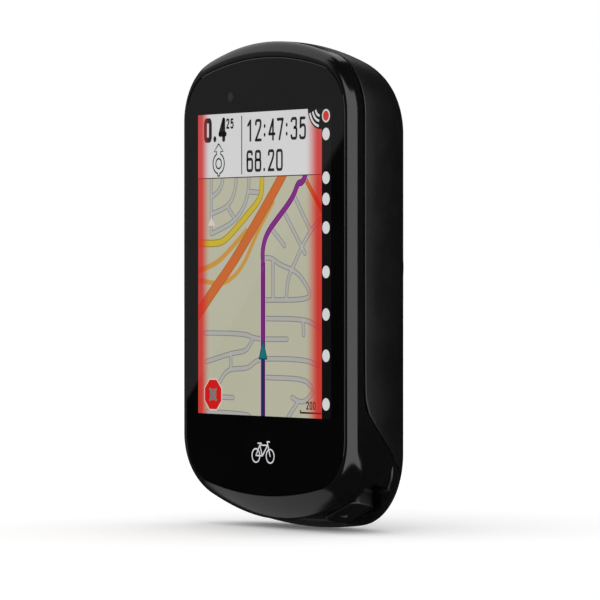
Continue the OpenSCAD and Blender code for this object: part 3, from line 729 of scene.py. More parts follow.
# Hollow around the cap: its half widths, the seat of the roll, the room that the cap sweeps
# through, and the slot for the rubber root
RECESS_HALF, RECESS_TOP_HALF, RECESS_TOP, RECESS_FRONT = 10.75, 10.02, -37.75, 3.65
SEAT_Y, SEAT_Z, SEAT_R, SWEEP_R = 12.6, -39.15, 1.44, 1.95
ROOT_HALF, ROOT_BACK, ROOT_TOP = 10.65, 15.05, -36.95
BELOW = -44
PORT_Y = 7.6


def across(half, points):
    """Two copies of a side outline of depth and height, at -half and at half."""
    return [np.array([(x, y, z) for y, z in points]) for x in (-half, half)]


def round_side(r, angles):
    return [(SEAT_Y + r * math.cos(t), SEAT_Z + r * math.sin(t)) for t in angles]


def cap_recess():
    """Hollow for the port cap: its sides lean over like the inner ends of the keys."""
    half = [(RECESS_HALF, BELOW), (RECESS_HALF, CAP_BEND), (RECESS_TOP_HALF, RECESS_TOP)]
    profile = half + [(-x, z) for x, z in reversed(half)]
    rows = [np.array([(x, y, z) for x, z in profile]) for y in (RECESS_FRONT, SEAT_Y)]
    seat = round_side(SEAT_R, np.linspace(0, 2 * math.pi, 49)[:-1])
    sweep = round_side(SWEEP_R, np.radians(np.linspace(168, 372, 29)))
    root = [(SEAT_Y, BELOW), (ROOT_BACK, BELOW), (ROOT_BACK, ROOT_TOP), (SEAT_Y, ROOT_TOP)]
    return [solid("recess", rows), solid("seat", across(RECESS_HALF, seat)),
            solid("sweep", across(RECESS_HALF, sweep)), solid("slot", across(ROOT_HALF, root))]


def port_hole():
    """Opening for the charging plug, with a flared mouth."""
    rows = bar_rows(9, 3.8, 1.8, [(-39.5, -0.9), (-38.0, -0.35), (-37.4, 0), (-34.9, 0)])
    return solid("port", rows, Matrix.Translation((0, PORT_Y, 0)))


def build_front():
    obj = front_housing()
    cut(obj, *cap_recess())
    cut(obj, port_hole())
    for side, key in ((1, "start"), (-1, "lap")):
        cut(obj, *scoop(side))
        cut(obj, *key_cutters(key))
    shade(obj, 32)
    wear(obj, GLOSS)
    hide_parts("front_housing")
    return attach(obj, "case")


def rear_cover():
    """Matte rear cover: a cup from the parting line to the flat back."""
    limit = SEAM_P + SEAM_GAP / 2
    lip = []
    for k in range(5):
        a = math.radians(22.5 * k)
        lip.append(skin(limit + SEAM_R * (1 - math.sin(a)), SEAM_R * (1 - math.cos(a))))
    lip = lip[::-1]
    outer = [skin(np.maximum(p, limit + SEAM_R)) for p in OUTER]
    outer += [skin(np.maximum(BODY_D + s, limit + SEAM_R)) for s in BACK]
    inner = [lining(np.maximum(p, limit), WALL) for p in (3, 4.5, 6, 8, 10, 12, 14, 15.3, 16)]
    inner.append(lining(np.maximum(BODY_D + 0.6, limit), WALL))
    rows = inner[::-1] + [skin(limit, 0.6)] + lip + outer
    vertices, faces = grid(rows)
    return make_object("rear_cover_shell", vertices, faces)


def screw_cutters():
    """Counterbores of the four cover screws, with a small chamfer."""
    out = []
    for x, z in COVER_SCREWS:
        rows = circle_rows([(-9, 0.95), (-1.3, 0.95), (-1.3, 1.75), (-0.15, 1.75), (0.6, 2.5)])
        out.append(solid("screw_hole", rows, back_frame(x, BODY_D, z)))
    return out


def screw_places():
    """X and Z of the cover screws, read from the four separate solids of their node."""
    points = unplace([v.co for v in frame["nodes"]["cover_screws"].data.vertices])
    out = []
    for sx in (-1, 1):
        for sz in (-1, 1):
            part = points[(points[:, 0] * sx > 0) & (points[:, 2] * sz > 0)]
            out.append(((part[:, 0].min() + part[:, 0].max()) / 2,
                        (part[:, 2].min() + part[:, 2].max()) / 2))
    return out


COVER_SCREWS = screw_places()


def boss_pocket():
    rows = circle_rows([(-1.25, INSERT_R + 0.06), (-0.12, INSERT_R + 0.06),
                        (0.4, INSERT_R + 0.6)], 128)
    return solid("boss_pocket", rows, back_frame(0, BODY_D, BOSS_Z))


def tether_pocket():
    """Pocket with a bar across it for a safety cord."""
    pocket = solid("pocket", bar_rows(5.2, 3.4, 0.5, [(-3, 0), (-0.12, 0), (0.5, -0.6)]),
                   back_frame(-10, BODY_D, -29.5))
    bar = solid("bar", [np.column_stack([np.full(24, x), *bar_circle(15.3, -29.5, 0.8)])
                        for x in (-13.5, -6.5)])
    return cut(pocket, bar)


def bar_circle(y, z, r):
    a = np.linspace(0, 2 * math.pi, 25)[:-1]
    return y + r * np.cos(a), z + r * np.sin(a)


def vent_hole():
    rows = circle_rows([(-1.7, 0.6), (-0.1, 0.6), (0.4, 1.0)], 32)
    return solid("vent", rows, back_frame(6, BODY_D, -27))


def build_rear():
    obj = rear_cover()
    cut(obj, *key_cutters("power"), edge_break("power"))
    cut(obj, boss_pocket(), tether_pocket(), vent_hole(), *screw_cutters())
    shade(obj, 32)
    wear(obj, MATTE)
    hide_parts("rear_cover")
    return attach(obj, "case")


# ---------------------------------------------------------------- keys and port cap


def key_rows(key):
    """Rings of a key from its face to its stem: rounded face edge, seal groove, flange, stem."""
    k = KEYS[key]
    l, w, r, seat = k.length, k.width, KEY_R[key], KEY_SEAT[key]
    groove0, groove1 = seat - 0.9, seat - 0.2
    flange = seat + 0.03
    spec = [(z, l - 2 * i, w - 2 * i, r - i) for z, i in fillet(0.38, 5)]
    spec.insert(0, (0, l - 1.6, w - 1.6, r - 0.8))
    spec += [(z, l - 2 * i, w - 2 * i, r - i)
             for z, i in ((groove0, 0), (groove0, 0.5), (groove1, 0.5), (groove1, 0),
                          (flange, 0), (flange, -0.7), (flange + 0.6, -0.7))]
    spec += [(flange + 0.6, 1.8, 1.8, 0.9), (seat + 1.6, 1.8, 1.8, 0.9)]
    return [np.column_stack([bar_outline(a, b, c), np.full(36, z)]) for z, a, b, c in spec]


def build_key(key):
    obj = solid(key + "_key_body", key_rows(key), KEYS[key].matrix)
    shade(obj, 40)
    wear(obj, KEY_LOOK)
    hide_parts(key + "_button")
    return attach(obj, key + "_key")


def extruded(name, outline, z0, z1, matrix):
    """Prism of a 2-D outline between two heights of a local frame."""
    q = np.asarray(outline, float)
    rows = [np.column_stack([q, np.full(len(q), z)]) for z in (z0, z1)]
    return solid(name, rows, matrix)


ICON_LOOK = surface("printed_icon", (0.11, 0.11, 0.115), 0.45, spread=0.1)


def icon_frame(key, x=0.0):
    """Frame on a key's face with X to the right and Y up as seen from below the body."""
    return key_matrix(key) @ Matrix.Translation((x, 0, 0))


def start_icon():
    outline = [(-0.55, -0.62), (0.62, 0.0), (-0.55, 0.62)]
    obj = extruded("start_key_icon", outline, -0.012, 0.02, icon_frame("start", -1.2))
    wear(obj, ICON_LOOK)
    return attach(obj, "start_key")


def lap_icon():
    """Open ring with an arrow head, printed on the lap key."""
    a = np.radians(np.linspace(60, 380, 25))
    ring = [(0.75 * math.cos(t), 0.75 * math.sin(t)) for t in a]
    ring += [(0.55 * math.cos(t), 0.55 * math.sin(t)) for t in a[::-1]]
    obj = extruded("lap_key_icon", ring, -0.012, 0.02, icon_frame("lap", 1.2))
    wear(obj, ICON_LOOK)
    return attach(obj, "lap_key")


def under_z(x, y):
    """Height of the underside's skin at x, y."""
    R = bottom_radius(y)
    return -(bottom_at(y) - R + np.sqrt(R * R - x * x))


def cap_side(z):
    """Half width of the cap at a height: its sides lean over like the keys beside them."""
    return np.interp(z, [CAP_BEND, CAP_TOP], [CAP_HALF, CAP_TOP_HALF])


def cap_profile(x, drop):
    """Side outline of the cap at x: front, outer skin, roll at the hinge, inner plane."""
    y = np.concatenate([[0, 0.06, 0.16, 0.3], np.linspace(0.6, 5.2, 9),
                        np.linspace(5.4, 6.2, 9), np.linspace(6.6, 8.6, 5)]) + CAP_FRONT
    lift = 0.3 - np.sqrt(np.clip(0.09 - (0.3 - np.clip(y - CAP_FRONT, 0, 0.3)) ** 2, 0, None))
    skin_z = under_z(x, y) + np.maximum(lift, drop) + 0.02
    turn = np.radians(np.linspace(-88, 88, 14))
    roll_y = HINGE_Y + ROLL_R * np.cos(turn)
    roll_z = HINGE_Z + ROLL_R * np.sin(turn)
    roll_z = np.maximum(roll_z, under_z(x, roll_y) + drop + 0.02)
    line = [(CAP_FRONT, CAP_TOP - 0.15)]
    line += list(zip(y, skin_z)) + list(zip(roll_y, roll_z))
    line += [(HINGE_Y, CAP_TOP), (CAP_FRONT + 0.15, CAP_TOP)]
    line = [(a, min(b, CAP_TOP)) for a, b in line]
    return np.array([(math.copysign(min(abs(x), cap_side(b)), x), a, b) for a, b in line])


def port_cap():
    edge = [(CAP_HALF, 0.3), (CAP_HALF - 0.03, 0.17), (CAP_HALF - 0.1, 0.08),
            (CAP_HALF - 0.22, 0.01), (CAP_HALF - 0.35, 0)]
    inner = [(x, 0.0) for x in (9.8, 8.5, 6.5, 4.5, 2.5, 1)]
    half = edge + inner
    stations = [(-x, d) for x, d in half] + [(x, d) for x, d in reversed(half)]
    obj = solid("usb_cap_flap", [cap_profile(x, d) for x, d in stations])
    shade(obj, 40)
    wear(obj, CAP_LOOK)
    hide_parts("usb_cap")
    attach(obj, "port_cap")


def cap_plug():
    rows = bar_rows(6, 2, 0.8, [(-37.9, 0), (-37.25, 0), (-37.08, 0.08), (-37.0, 0.25)])
    obj = solid("usb_cap_plug", rows, Matrix.Translation((0, 7.8, 0)))
    shade(obj, 40)
    wear(obj, CAP_LOOK)
    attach(obj, "port_cap")


# ---------------------------------------------------------------- glass and picture

DISPLAY_L, DISPLAY_R, DISPLAY_T, DISPLAY_B = -19.6, 19.6, 29.2, -22.0
MAP_R, MAP_T = 17.0, 18.2


def screen_light(nodes, at):
    """Strength of the red warning glow along both edges of the picture, from 0 to 1."""
    split = nodes.add("ShaderNodeSeparateXYZ")
    nodes.link(at, split.inputs[0])
    u = nodes.math("MULTIPLY", split.outputs[0], 1 / MM)
    left = nodes.add("ShaderNodeMapRange", interpolation_type="SMOOTHSTEP")
    right = nodes.add("ShaderNodeMapRange", interpolation_type="SMOOTHSTEP")
    for node, (low, high) in ((left, (-15.9, -18.7)), (right, (12.2, 16.0))):
        nodes.link(u, node.inputs[0])
        node.inputs[1].default_value = low
        node.inputs[2].default_value = high
    return nodes.math("MAXIMUM", left.outputs[0], right.outputs[0])


def screen_paint(name, colour, glow=0.93, grain=0.05):
    """Colour shown by the display, seen through the cover glass."""
    mat, nodes, shader, at = start(name)
    red = rgb(205, 24, 18)
    amount = nodes.math("MULTIPLY", screen_light(nodes, at), glow)
    lit = nodes.mix(amount, colour, red)
    speck = nodes.ramp(nodes.noise(at, 9000.0, 1.0), 0.3, 0.7, 1 - grain, 1 + grain)
    cloud = nodes.ramp(nodes.noise(at, 60.0, 2.0), 0.3, 0.7, 0.985, 1.015)
    shader.inputs["Base Color"].default_value = (0.004, 0.004, 0.004, 1)
    nodes.link(lit, shader.inputs["Emission Color"])
    nodes.link(nodes.math("MULTIPLY", speck, cloud), shader.inputs["Emission Strength"])
    glass_front(nodes, shader, at)
    return mat


def glass_front(nodes, shader, at):
    """Clear polished front that the black border and the picture share."""
    smudge = nodes.noise(nodes.stretched(at, (1, 1, 0.5)), 70.0, 5.0)
    shader.inputs["Specular IOR Level"].default_value = 0.0
    shader.inputs["Roughness"].default_value = 0.6
    shader.inputs["Coat Weight"].default_value = 1.0
    shader.inputs["Coat IOR"].default_value = 1.5
    nodes.link(nodes.ramp(smudge, 0.4, 0.8, 0.012, 0.03), shader.inputs["Coat Roughness"])


def glass_look():
    mat, nodes, shader, at = start("cover_glass_black")
    tone = nodes.ramp(nodes.noise(at, 120.0, 3.0), 0.3, 0.7, 0.0, 1.0)
    dark, light = (0.0006, 0.0006, 0.0007, 1), (0.0012, 0.0012, 0.0013, 1)
    nodes.link(nodes.mix(tone, dark, light), shader.inputs["Base Color"])
    glass_front(nodes, shader, at)
    return mat


def build_glass():
    rows = [glass_ring(0.0, -0.16), glass_ring(0.035, -0.05), glass_ring(0.12, 0.0),
            glass_ring(GLASS_T, 0.0)]
    vertices, faces = grid(rows)
    obj = make_object("cover_glass_pane", vertices, faces)
    shade(obj, 25)
    for face in obj.data.polygons:
        face.use_smooth = len(face.vertices) < 5
    wear(obj, glass_look())
    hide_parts("cover_glass")
    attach(obj, "case")


class Picture:
    """Flat parts of the picture, as thin slabs just proud of the glass.

    Points are X and Z in body millimetres; a higher layer lies nearer to the viewer.
    """

    def __init__(self):
        self.layer = 0

    def add(self, name, outlines, mat, clip=None):
        self.layer += 1
        front = -0.0015 * self.layer
        bm = bmesh.new()
        for outline in outlines:
            verts = [bm.verts.new((x, 0, z)) for x, z in outline]
            bm.faces.new(verts)
        if clip:
            self.trim(bm, clip)
        mesh = bpy.data.meshes.new(name)
        bm.to_mesh(mesh)
        bm.free()
        obj = self.thicken(name, mesh, front)
        wear(obj, mat)
        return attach(obj, "case")

    @staticmethod
    def trim(bm, clip):
        left, right, bottom, top = clip
        for co, normal in (((left, 0, 0), (-1, 0, 0)), ((right, 0, 0), (1, 0, 0)),
                           ((0, 0, bottom), (0, 0, -1)), ((0, 0, top), (0, 0, 1))):
            parts = bm.verts[:] + bm.edges[:] + bm.faces[:]
            bmesh.ops.bisect_plane(bm, geom=parts, plane_co=co, plane_no=normal,
                                   clear_outer=True)

    @staticmethod
    def thicken(name, mesh, front):
        """Closed slab with a copy of every flat face at the back and walls around it."""
        flat = np.array([v.co for v in mesh.vertices])
        n = len(flat)
        faces = [list(p.vertices) for p in mesh.polygons]
        points = np.vstack([flat + (0, front, 0), flat + (0, 0.02, 0)])
        ways = [f if area_sign(flat[f]) > 0 else f[::-1] for f in faces]
        used = {}
        for f in ways:
            for a, b in zip(f, f[1:] + f[:1]):
                used[(a, b)] = used.get((a, b), 0) + 1
        walls = [(a, a + n, b + n, b) for a, b in used if (b, a) not in used]
        solid_faces = ways + [[i + n for i in f[::-1]] for f in ways] + walls
        out = bpy.data.meshes.new(name)
        out.from_pydata(place(points).tolist(), [], solid_faces)
        obj = bpy.data.objects.new(name, out)
        bpy.context.scene.collection.objects.link(obj)
        bpy.data.meshes.remove(mesh)
        return obj


def area_sign(points):
    """Positive if X and Z of the points run counter-clockwise as seen from the front."""
    x, z = points[:, 0], points[:, 2]
    return float(np.sum(x * np.roll(z, -1) - np.roll(x, -1) * z))


def smooth_line(points, rounds=3):
    return chaikin(points, rounds) if len(points) > 2 else np.array(points, float)


def ribbon(points, width, rounds=3, round_ends=True):
    """Outline of a line of even width along points."""
    p = smooth_line(points, rounds)
    keep = np.concatenate([[True], np.linalg.norm(np.diff(p, axis=0), axis=1) > 1e-4])
    p = p[keep]
    d = np.diff(p, axis=0)
    d /= np.linalg.norm(d, axis=1, keepdims=True)
    t = np.vstack([d[:1], d[:-1] + d[1:], d[-1:]])
    t /= np.linalg.norm(t, axis=1, keepdims=True)
    n = np.column_stack([-t[:, 1], t[:, 0]]) * width / 2
    a, b = p + n, p - n
    if not round_ends:
        return np.vstack([b, a[::-1]])
    turn = np.radians(np.linspace(-75, 75, 7))
    tip = [p[-1] + (t[-1] * math.cos(k) + n[-1] / (width / 2) * math.sin(k)) * width / 2
           for k in turn]
    tail = [p[0] + (-t[0] * math.cos(k) - n[0] / (width / 2) * math.sin(k)) * width / 2
            for k in turn]
    return np.vstack([b, tip, a[::-1], tail])


def disc(x, z, r, steps=28):
    a = np.linspace(0, 2 * math.pi, steps, endpoint=False)
    return np.column_stack([x + r * np.cos(a), z + r * np.sin(a)])


def rectangle(x0, x1, z0, z1):
    return [(x0, z0), (x1, z0), (x1, z1), (x0, z1)]


def polygon(x, z, r, sides, turn):
    return [(x + r * math.cos(turn + 2 * math.pi * k / sides),
             z + r * math.sin(turn + 2 * math.pi * k / sides)) for k in range(sides)]


HIGHWAY = [(-21, -6.0), (-18.7, -4.2), (-15, -1), (-9, 3.8), (-4, 8.6), (0, 12.5), (3, 15.5),
           (5.6, 18.2), (7, 20)]
UPPER_RAMP = [(-21, 2.5), (-19, 2.6), (-16, 3.2), (-13, 4.2), (-9, 6.6), (-5, 9.2)]
LOWER_RAMP = [(-21, 1.1), (-19, 0.8), (-15.5, 0.4), (-12, 0.2), (-8.5, 1.5), (-5.5, 3.8),
              (-3.5, 6.5), (-1.2, 9.5), (3, 14)]
SHORT_ROAD = [(11.6, 18.6), (12.3, 17.6), (16.5, 13.0), (18, 11.4)]
YELLOW = [(-0.3, 20), (-0.3, 18.2), (-0.4, 15.5), (-1.5, 14), (-5, 11.7), (-9, 9), (-12, 7.4),
          (-14.5, 7.1), (-19, 7.2), (-21, 7.3)]
ROUTE_LOW = [(0, -9.5), (0, 3.5)]
ROUTE_HIGH = [(0, 3.5), (-0.2, 6), (1, 8.6), (4, 11), (7, 13.2), (9, 15), (10.2, 17),
              (11.2, 17), (12, 17.6), (12.5, 18.6)]
STREETS = [
    [(-15.6, 19), (-15.6, 9)],
    [(-11.9, 19), (-12.2, 17.6), (-13, 16.2), (-15.5, 15)],
    [(-7.9, 19), (-8.3, 15.8), (-10.5, 13.3), (-15.5, 12.2)],
    [(-10.6, 13.3), (-8.8, 11.6)],
    [(-4.2, 19), (-4.3, 15.6), (-6, 12.8), (-9, 10.6), (-15.5, 8.8)],
    [(-4.2, 15.8), (-1, 15.6)],
    [(2.7, 9.3), (6.3, 6.6)],
    [(6.5, 11.8), (12.2, 5.3)],
    [(9, 15), (13.8, 9)],
    [(16.5, 10.8), (13.5, 8.8), (11, 6), (8.7, 3), (7.2, 1), (6.8, -2.3)],
    [(0.5, 4.6), (2.5, 4.6), (5, 3.4), (8.7, 2.6), (11, 1.5), (13.6, -1), (13.4, -2.4),
     (0.5, -2.5)],
    [(2.9, 4), (2.9, -2.3)],
    [(0.5, -5.6), (12, -5.6), (15, -6.5), (17.5, -7.4)],
    [(11.7, -5.8), (11.8, -8.2)],
    [(-17.5, -8.2), (-5, -8.2), (-2.4, -9.1), (7, -9.0)],
    [(-3.2, -9.3), (-5, -11.2), (-9, -11.5), (-17, -13.1)],
    [(-9.7, -11.6), (-9.6, -14.1)],
    [(-13, -16.5), (-11.5, -15), (-9.5, -14.2), (-4.5, -14.1), (-2.5, -12.9), (0, -12.3),
     (12, -12.3), (16, -13.2)],
    [(0.5, -15.5), (12, -15.5), (14, -16.8)],
    [(-12.3, -19.1), (-9, -19.1)],
    [(-17, -21.7), (-4.5, -21.8), (-3.5, -22.6)],
    [(8.5, -18.7), (10.5, -19.4), (12.5, -19.2), (14.5, -17.7)],
    [(10, -19.6), (7.5, -21.8), (6.8, -22.6)],
]
MAP_CLIP = (DISPLAY_L, MAP_R, DISPLAY_B, MAP_T)


def draw_map(picture):
    picture.add("display_background", [rectangle(DISPLAY_L, DISPLAY_R, DISPLAY_B, DISPLAY_T)],
                screen_paint("display_dark", rgb(4, 4, 5), glow=0.0))
    picture.add("map_land", [rectangle(DISPLAY_L, MAP_R, DISPLAY_B, MAP_T)],
                screen_paint("map_land_paint", rgb(183, 182, 160)))
    edges = [ribbon(s, 0.92) for s in STREETS]
    picture.add("map_street_edges", edges, screen_paint("street_edge_paint", rgb(128, 128, 122)),
                MAP_CLIP)
    fills = [ribbon(s, 0.64) for s in STREETS]
    picture.add("map_streets", fills, screen_paint("street_paint", rgb(172, 172, 168)), MAP_CLIP)
    ramps = screen_paint("ramp_paint", rgb(198, 146, 62))
    picture.add("map_ramps", [ribbon(UPPER_RAMP, 0.95), ribbon(LOWER_RAMP, 0.85)], ramps,
                MAP_CLIP)
    picture.add("map_yellow_edge", [ribbon(YELLOW, 1.3)],
                screen_paint("yellow_edge_paint", rgb(150, 132, 40)), MAP_CLIP)
    picture.add("map_yellow_road", [ribbon(YELLOW, 0.95)],
                screen_paint("yellow_paint", rgb(200, 176, 44)), MAP_CLIP)
    picture.add("map_highway_edge", [ribbon(HIGHWAY, 2.1), ribbon(SHORT_ROAD, 0.95)],
                screen_paint("highway_edge_paint", rgb(176, 92, 34)), MAP_CLIP)
    picture.add("map_highway", [ribbon(HIGHWAY, 1.7), ribbon(SHORT_ROAD, 0.6)],
                screen_paint("highway_paint", rgb(200, 101, 38)), MAP_CLIP)


def draw_route(picture):
    halo = screen_paint("route_halo_paint", rgb(206, 168, 196))
    dark = screen_paint("route_edge_paint", rgb(84, 14, 84))
    bright = screen_paint("route_paint", rgb(128, 30, 128))
    picture.add("route_halo", [ribbon([(0, -22), (0, 4)], 1.6), ribbon(ROUTE_HIGH[1:], 1.3)],
                halo, MAP_CLIP)
    picture.add("route_edge", [ribbon(ROUTE_HIGH, 1.15), ribbon([(0, -22), (0, 3.6)], 1.25)],
                dark, MAP_CLIP)
    picture.add("route_line", [ribbon(ROUTE_HIGH, 0.8), ribbon(ROUTE_LOW, 0.7)], bright,
                MAP_CLIP)
    picture.add("ridden_track", [rectangle(-0.36, 0.36, DISPLAY_B, -11.5)],
                screen_paint("track_paint", rgb(24, 42, 84)))
    picture.add("rider_arrow_edge", [[(0, -8.9), (-1.3, -12.5), (1.3, -12.5)]],
                screen_paint("arrow_edge_paint", rgb(10, 60, 70)))
    picture.add("rider_arrow", [[(0, -9.5), (-1.0, -12.3), (1.0, -12.3)]],
                screen_paint("arrow_paint", rgb(16, 112, 122)))


# Strokes of the digits in a box one wide and two high; "o" marks a smoothed stroke
DIGITS = {
    "0": [("o", [(0.5, 0), (0, 0), (0, 1), (0, 2), (0.5, 2), (1, 2), (1, 1), (1, 0), (0.5, 0)])],
    "1": [("-", [(0.15, 1.55), (0.6, 2), (0.6, 0)])],
    "2": [("o", [(0.02, 1.5), (0.05, 2), (0.5, 2), (0.98, 2), (0.95, 1.4), (0.6, 0.85),
                 (0.02, 0.02)]), ("-", [(0, 0), (1, 0)])],
    "3": [("o", [(0, 1.65), (0.15, 2), (0.5, 2), (0.95, 2), (0.95, 1.5), (0.9, 1.1),
                 (0.45, 1.08)]),
          ("o", [(0.45, 1.08), (1.02, 1.05), (1.0, 0.5), (0.95, 0), (0.5, 0), (0.1, 0),
                 (0, 0.4)])],
    "4": [("-", [(0.75, 0), (0.75, 2), (0, 0.55), (1.05, 0.55)])],
    "5": [("-", [(0.9, 2), (0.15, 2), (0.1, 1.1)]),
          ("o", [(0.1, 1.1), (0.5, 1.35), (0.98, 1.25), (1, 0.6), (0.95, 0), (0.45, 0),
                 (0.1, 0), (0, 0.35)])],
    "6": [("o", [(0.95, 1.6), (0.9, 2), (0.5, 2), (0, 2), (0, 1), (0, 0.5), (0.02, 0), (0.5, 0),
                 (0.98, 0), (1, 0.6), (0.98, 1.2), (0.5, 1.2), (0.02, 1.2), (0, 0.6)])],
    "7": [("-", [(0, 2), (1, 2), (0.35, 0)])],
    "8": [("o", [(0.5, 1.1), (0.05, 1.1), (0.05, 1.55), (0.08, 2), (0.5, 2), (0.92, 2),
                 (0.95, 1.55), (0.95, 1.1), (0.5, 1.1)]),
          ("o", [(0.5, 1.1), (0, 1.1), (0, 0.55), (0.02, 0), (0.5, 0), (0.98, 0), (1, 0.55),
                 (1, 1.1), (0.5, 1.1)])],
    ".": [("-", [(0.1, 0.02), (0.1, 0.1)])],
    ":": [("-", [(0.1, 0.45), (0.1, 0.55)]), ("-", [(0.1, 1.35), (0.1, 1.45)])],
}


def digits(text, x, z, height, stroke, pitch=1.0):
    """Outlines of a row of digits whose lower left corner is x, z."""
    scale = (height - stroke) / 2
    wide = scale * 0.92
    out = []
    for mark in text:
        for kind, points in DIGITS[mark]:
            q = [(x + stroke / 2 + px * wide, z + stroke / 2 + pz * scale) for px, pz in points]
            out += stroke_outlines(q, stroke, kind)
        out_step = 0.32 * wide if mark in ".:" else wide
        x += out_step + stroke + 0.42 * wide * pitch
    return out


def stroke_outlines(points, stroke, kind):
    if kind == "o":
        return [ribbon(points, stroke, 4, False)]
    parts = []
    for a, b in zip(points, points[1:]):
        parts.append(ribbon([a, b], stroke, 0))
    return parts


ARCS_X, ARCS_Z = 16.55, 29.3


def draw_banner(picture):
    cut_r = 3.55
    turn = np.radians(np.linspace(268, 182, 12))
    corner = [(ARCS_X + cut_r * math.cos(a), ARCS_Z + cut_r * math.sin(a)) for a in turn]
    panel = [(DISPLAY_L, MAP_T), (MAP_R, MAP_T), (MAP_R, ARCS_Z - cut_r), *corner,
             (13.0, DISPLAY_T), (DISPLAY_L, DISPLAY_T)]
    picture.add("banner_panel", [panel], screen_paint("banner_paint", rgb(212, 212, 213)))
    ink = screen_paint("banner_ink", rgb(20, 20, 22), glow=0.62)
    parts = [rectangle(DISPLAY_L, MAP_R, MAP_T, MAP_T + 0.16), rectangle(-6.45, -6.2, 18.8, 28.7)]
    parts += digits("0.4", -17.8, 24.4, 4.2, 0.9, 0.5)
    parts += digits("25", -11.0, 26.6, 1.75, 0.34, 0.9)
    parts += digits("12:47:35", -4.9, 24.2, 3.8, 0.5, 0.75)
    parts += digits("68.20", -4.9, 19.1, 3.7, 0.5, 0.75)
    parts += roundabout_icon()
    picture.add("banner_ink_marks", parts, ink, (DISPLAY_L, MAP_R, DISPLAY_B, DISPLAY_T))


def roundabout_icon():
    """Hollow arrow that leaves a round junction straight on."""
    cx, cz, r = -13.3, 20.75, 1.72
    turn = np.radians(np.linspace(70, -80, 14))
    right = [(r * math.cos(a), r * math.sin(a)) for a in turn] + [(0.3, -2.1), (0, -2.1)]
    right = [(0, 3.4), (1.4, 2.05), (0.62, 2.05)] + right
    outline = right + [(-x, z) for x, z in reversed(right)]
    small = [(0.85 * math.cos(a), 0.85 * math.sin(a))
             for a in np.linspace(0, 2 * math.pi, 25)]
    lines = [[(cx + x, cz + z) for x, z in line] for line in (outline, small)]
    return [ribbon(line, 0.27, 0, False) for line in lines]


RADAR_Z = [24.9, 17.7, 14.2, 9.5, 2.2, -4.8, -11.6, -19.6]


def draw_radar(picture):
    """Lane of dots on the right that shows how far behind a vehicle is."""
    white = screen_paint("radar_white", rgb(214, 214, 214), glow=0.0)
    parts = [disc(18.2, z, 1.03) for z in RADAR_Z] + [disc(18.2, 27.9, 1.1)]
    for r in (1.35, 2.2, 3.05):
        a = np.radians(np.linspace(196, 262, 9))
        arc = [(ARCS_X + r * math.cos(t), ARCS_Z + r * math.sin(t)) for t in a]
        parts.append(ribbon(arc, 0.4, 0, False))
    picture.add("radar_dots", parts, white)
    picture.add("radar_vehicle", [disc(18.2, 27.9, 0.84)],
                screen_paint("radar_red", rgb(204, 52, 46), glow=0.0))


def draw_icons(picture):
    white = screen_paint("icon_white", rgb(214, 200, 196), glow=0.2)
    red = screen_paint("icon_red", rgb(206, 22, 18), glow=0.2)
    dark = screen_paint("icon_dark", rgb(120, 120, 120), glow=0.2)
    turn = math.pi / 8
    picture.add("alert_edge", [polygon(-15, -18.7, 2.95, 8, turn)], white)
    picture.add("alert_sign", [polygon(-15, -18.7, 2.72, 8, turn)], red)
    cross = [ribbon([(-15.9, -19.6), (-14.1, -17.8)], 0.5, 0),
             ribbon([(-15.9, -17.8), (-14.1, -19.6)], 0.5, 0),
             ribbon(np.vstack([disc(-15, -18.7, 0.85, 16), disc(-15, -18.7, 0.85, 16)[:1]]),
                    0.3, 0, False)]
    picture.add("alert_cross", cross, dark)
    picture.add("peak_mark", [[(-16.5, 10.2), (-14.4, 10.1), (-15.6, 11.7)]], white)
    scale = [rectangle(10.8, 16.9, -21.3, -21.0), rectangle(10.8, 11.05, -21.3, -20.7)]
    scale += digits("200", 12.6, -20.6, 1.35, 0.22)
    picture.add("scale_bar", scale, screen_paint("scale_ink", rgb(40, 26, 24), glow=0.5))


def bicycle_mark(picture):
    """Plain bicycle pictogram printed under the display, with a painted glow."""
    wheels = [ribbon(np.vstack([disc(x, -28.7, 1.15, 24), disc(x, -28.7, 1.15, 24)[:1]]), 0.22,
                     0, False) for x in (-2.1, 2.1)]
    bars = [[(-2.1, -28.7), (-0.95, -26.9)], [(-0.95, -26.9), (1.35, -26.9)],
            [(1.35, -26.9), (-0.2, -28.7)], [(-0.2, -28.7), (-0.95, -26.9)],
            [(-2.1, -28.7), (-0.2, -28.7)], [(2.1, -28.7), (1.2, -26.3)],
            [(1.2, -26.3), (1.9, -26.3)], [(-1.5, -26.6), (-0.5, -26.6)]]
    lines = [ribbon(b, 0.22, 0) for b in bars]
    mat, nodes, shader, at = start("printed_mark_painted_glow")
    tone = nodes.ramp(nodes.noise(at, 900.0, 2.0), 0.3, 0.7, 0.0, 1.0)
    # Painted glow: emission lights the print, which gives no light of its own
    nodes.link(nodes.mix(tone, rgb(186, 186, 188), rgb(206, 206, 208)),
               shader.inputs["Emission Color"])
    shader.inputs["Emission Strength"].default_value = 0.55
    nodes.link(nodes.mix(tone, (0.4, 0.4, 0.41, 1), (0.46, 0.46, 0.47, 1)),
               shader.inputs["Base Color"])
    glass_front(nodes, shader, at)
    obj = picture.add("bicycle_mark", wheels + lines, mat)


def sensor_window(picture):
    mat = surface("sensor_window_look", (0.006, 0.006, 0.008), 0.2, coat=1.0)
    obj = picture.add("sensor_window", [disc(-9.7, 32.0, 0.8)], mat)


def build_picture():
    picture = Picture()
    draw_map(picture)
    draw_route(picture)
    draw_banner(picture)
    draw_radar(picture)
    draw_icons(picture)
    bicycle_mark(picture)
    sensor_window(picture)


# ---------------------------------------------------------------- studio

VIEW_AZIMUTH = math.radians(55.32)
VIEW_DISTANCE = 690.0
FLOOR_Z = -(HALF_H + 0.02)
# A little light of its own keeps faint, far shadows off the white floor
FLOOR_GLOW = 0.09
FLOOR_HALF = 6000
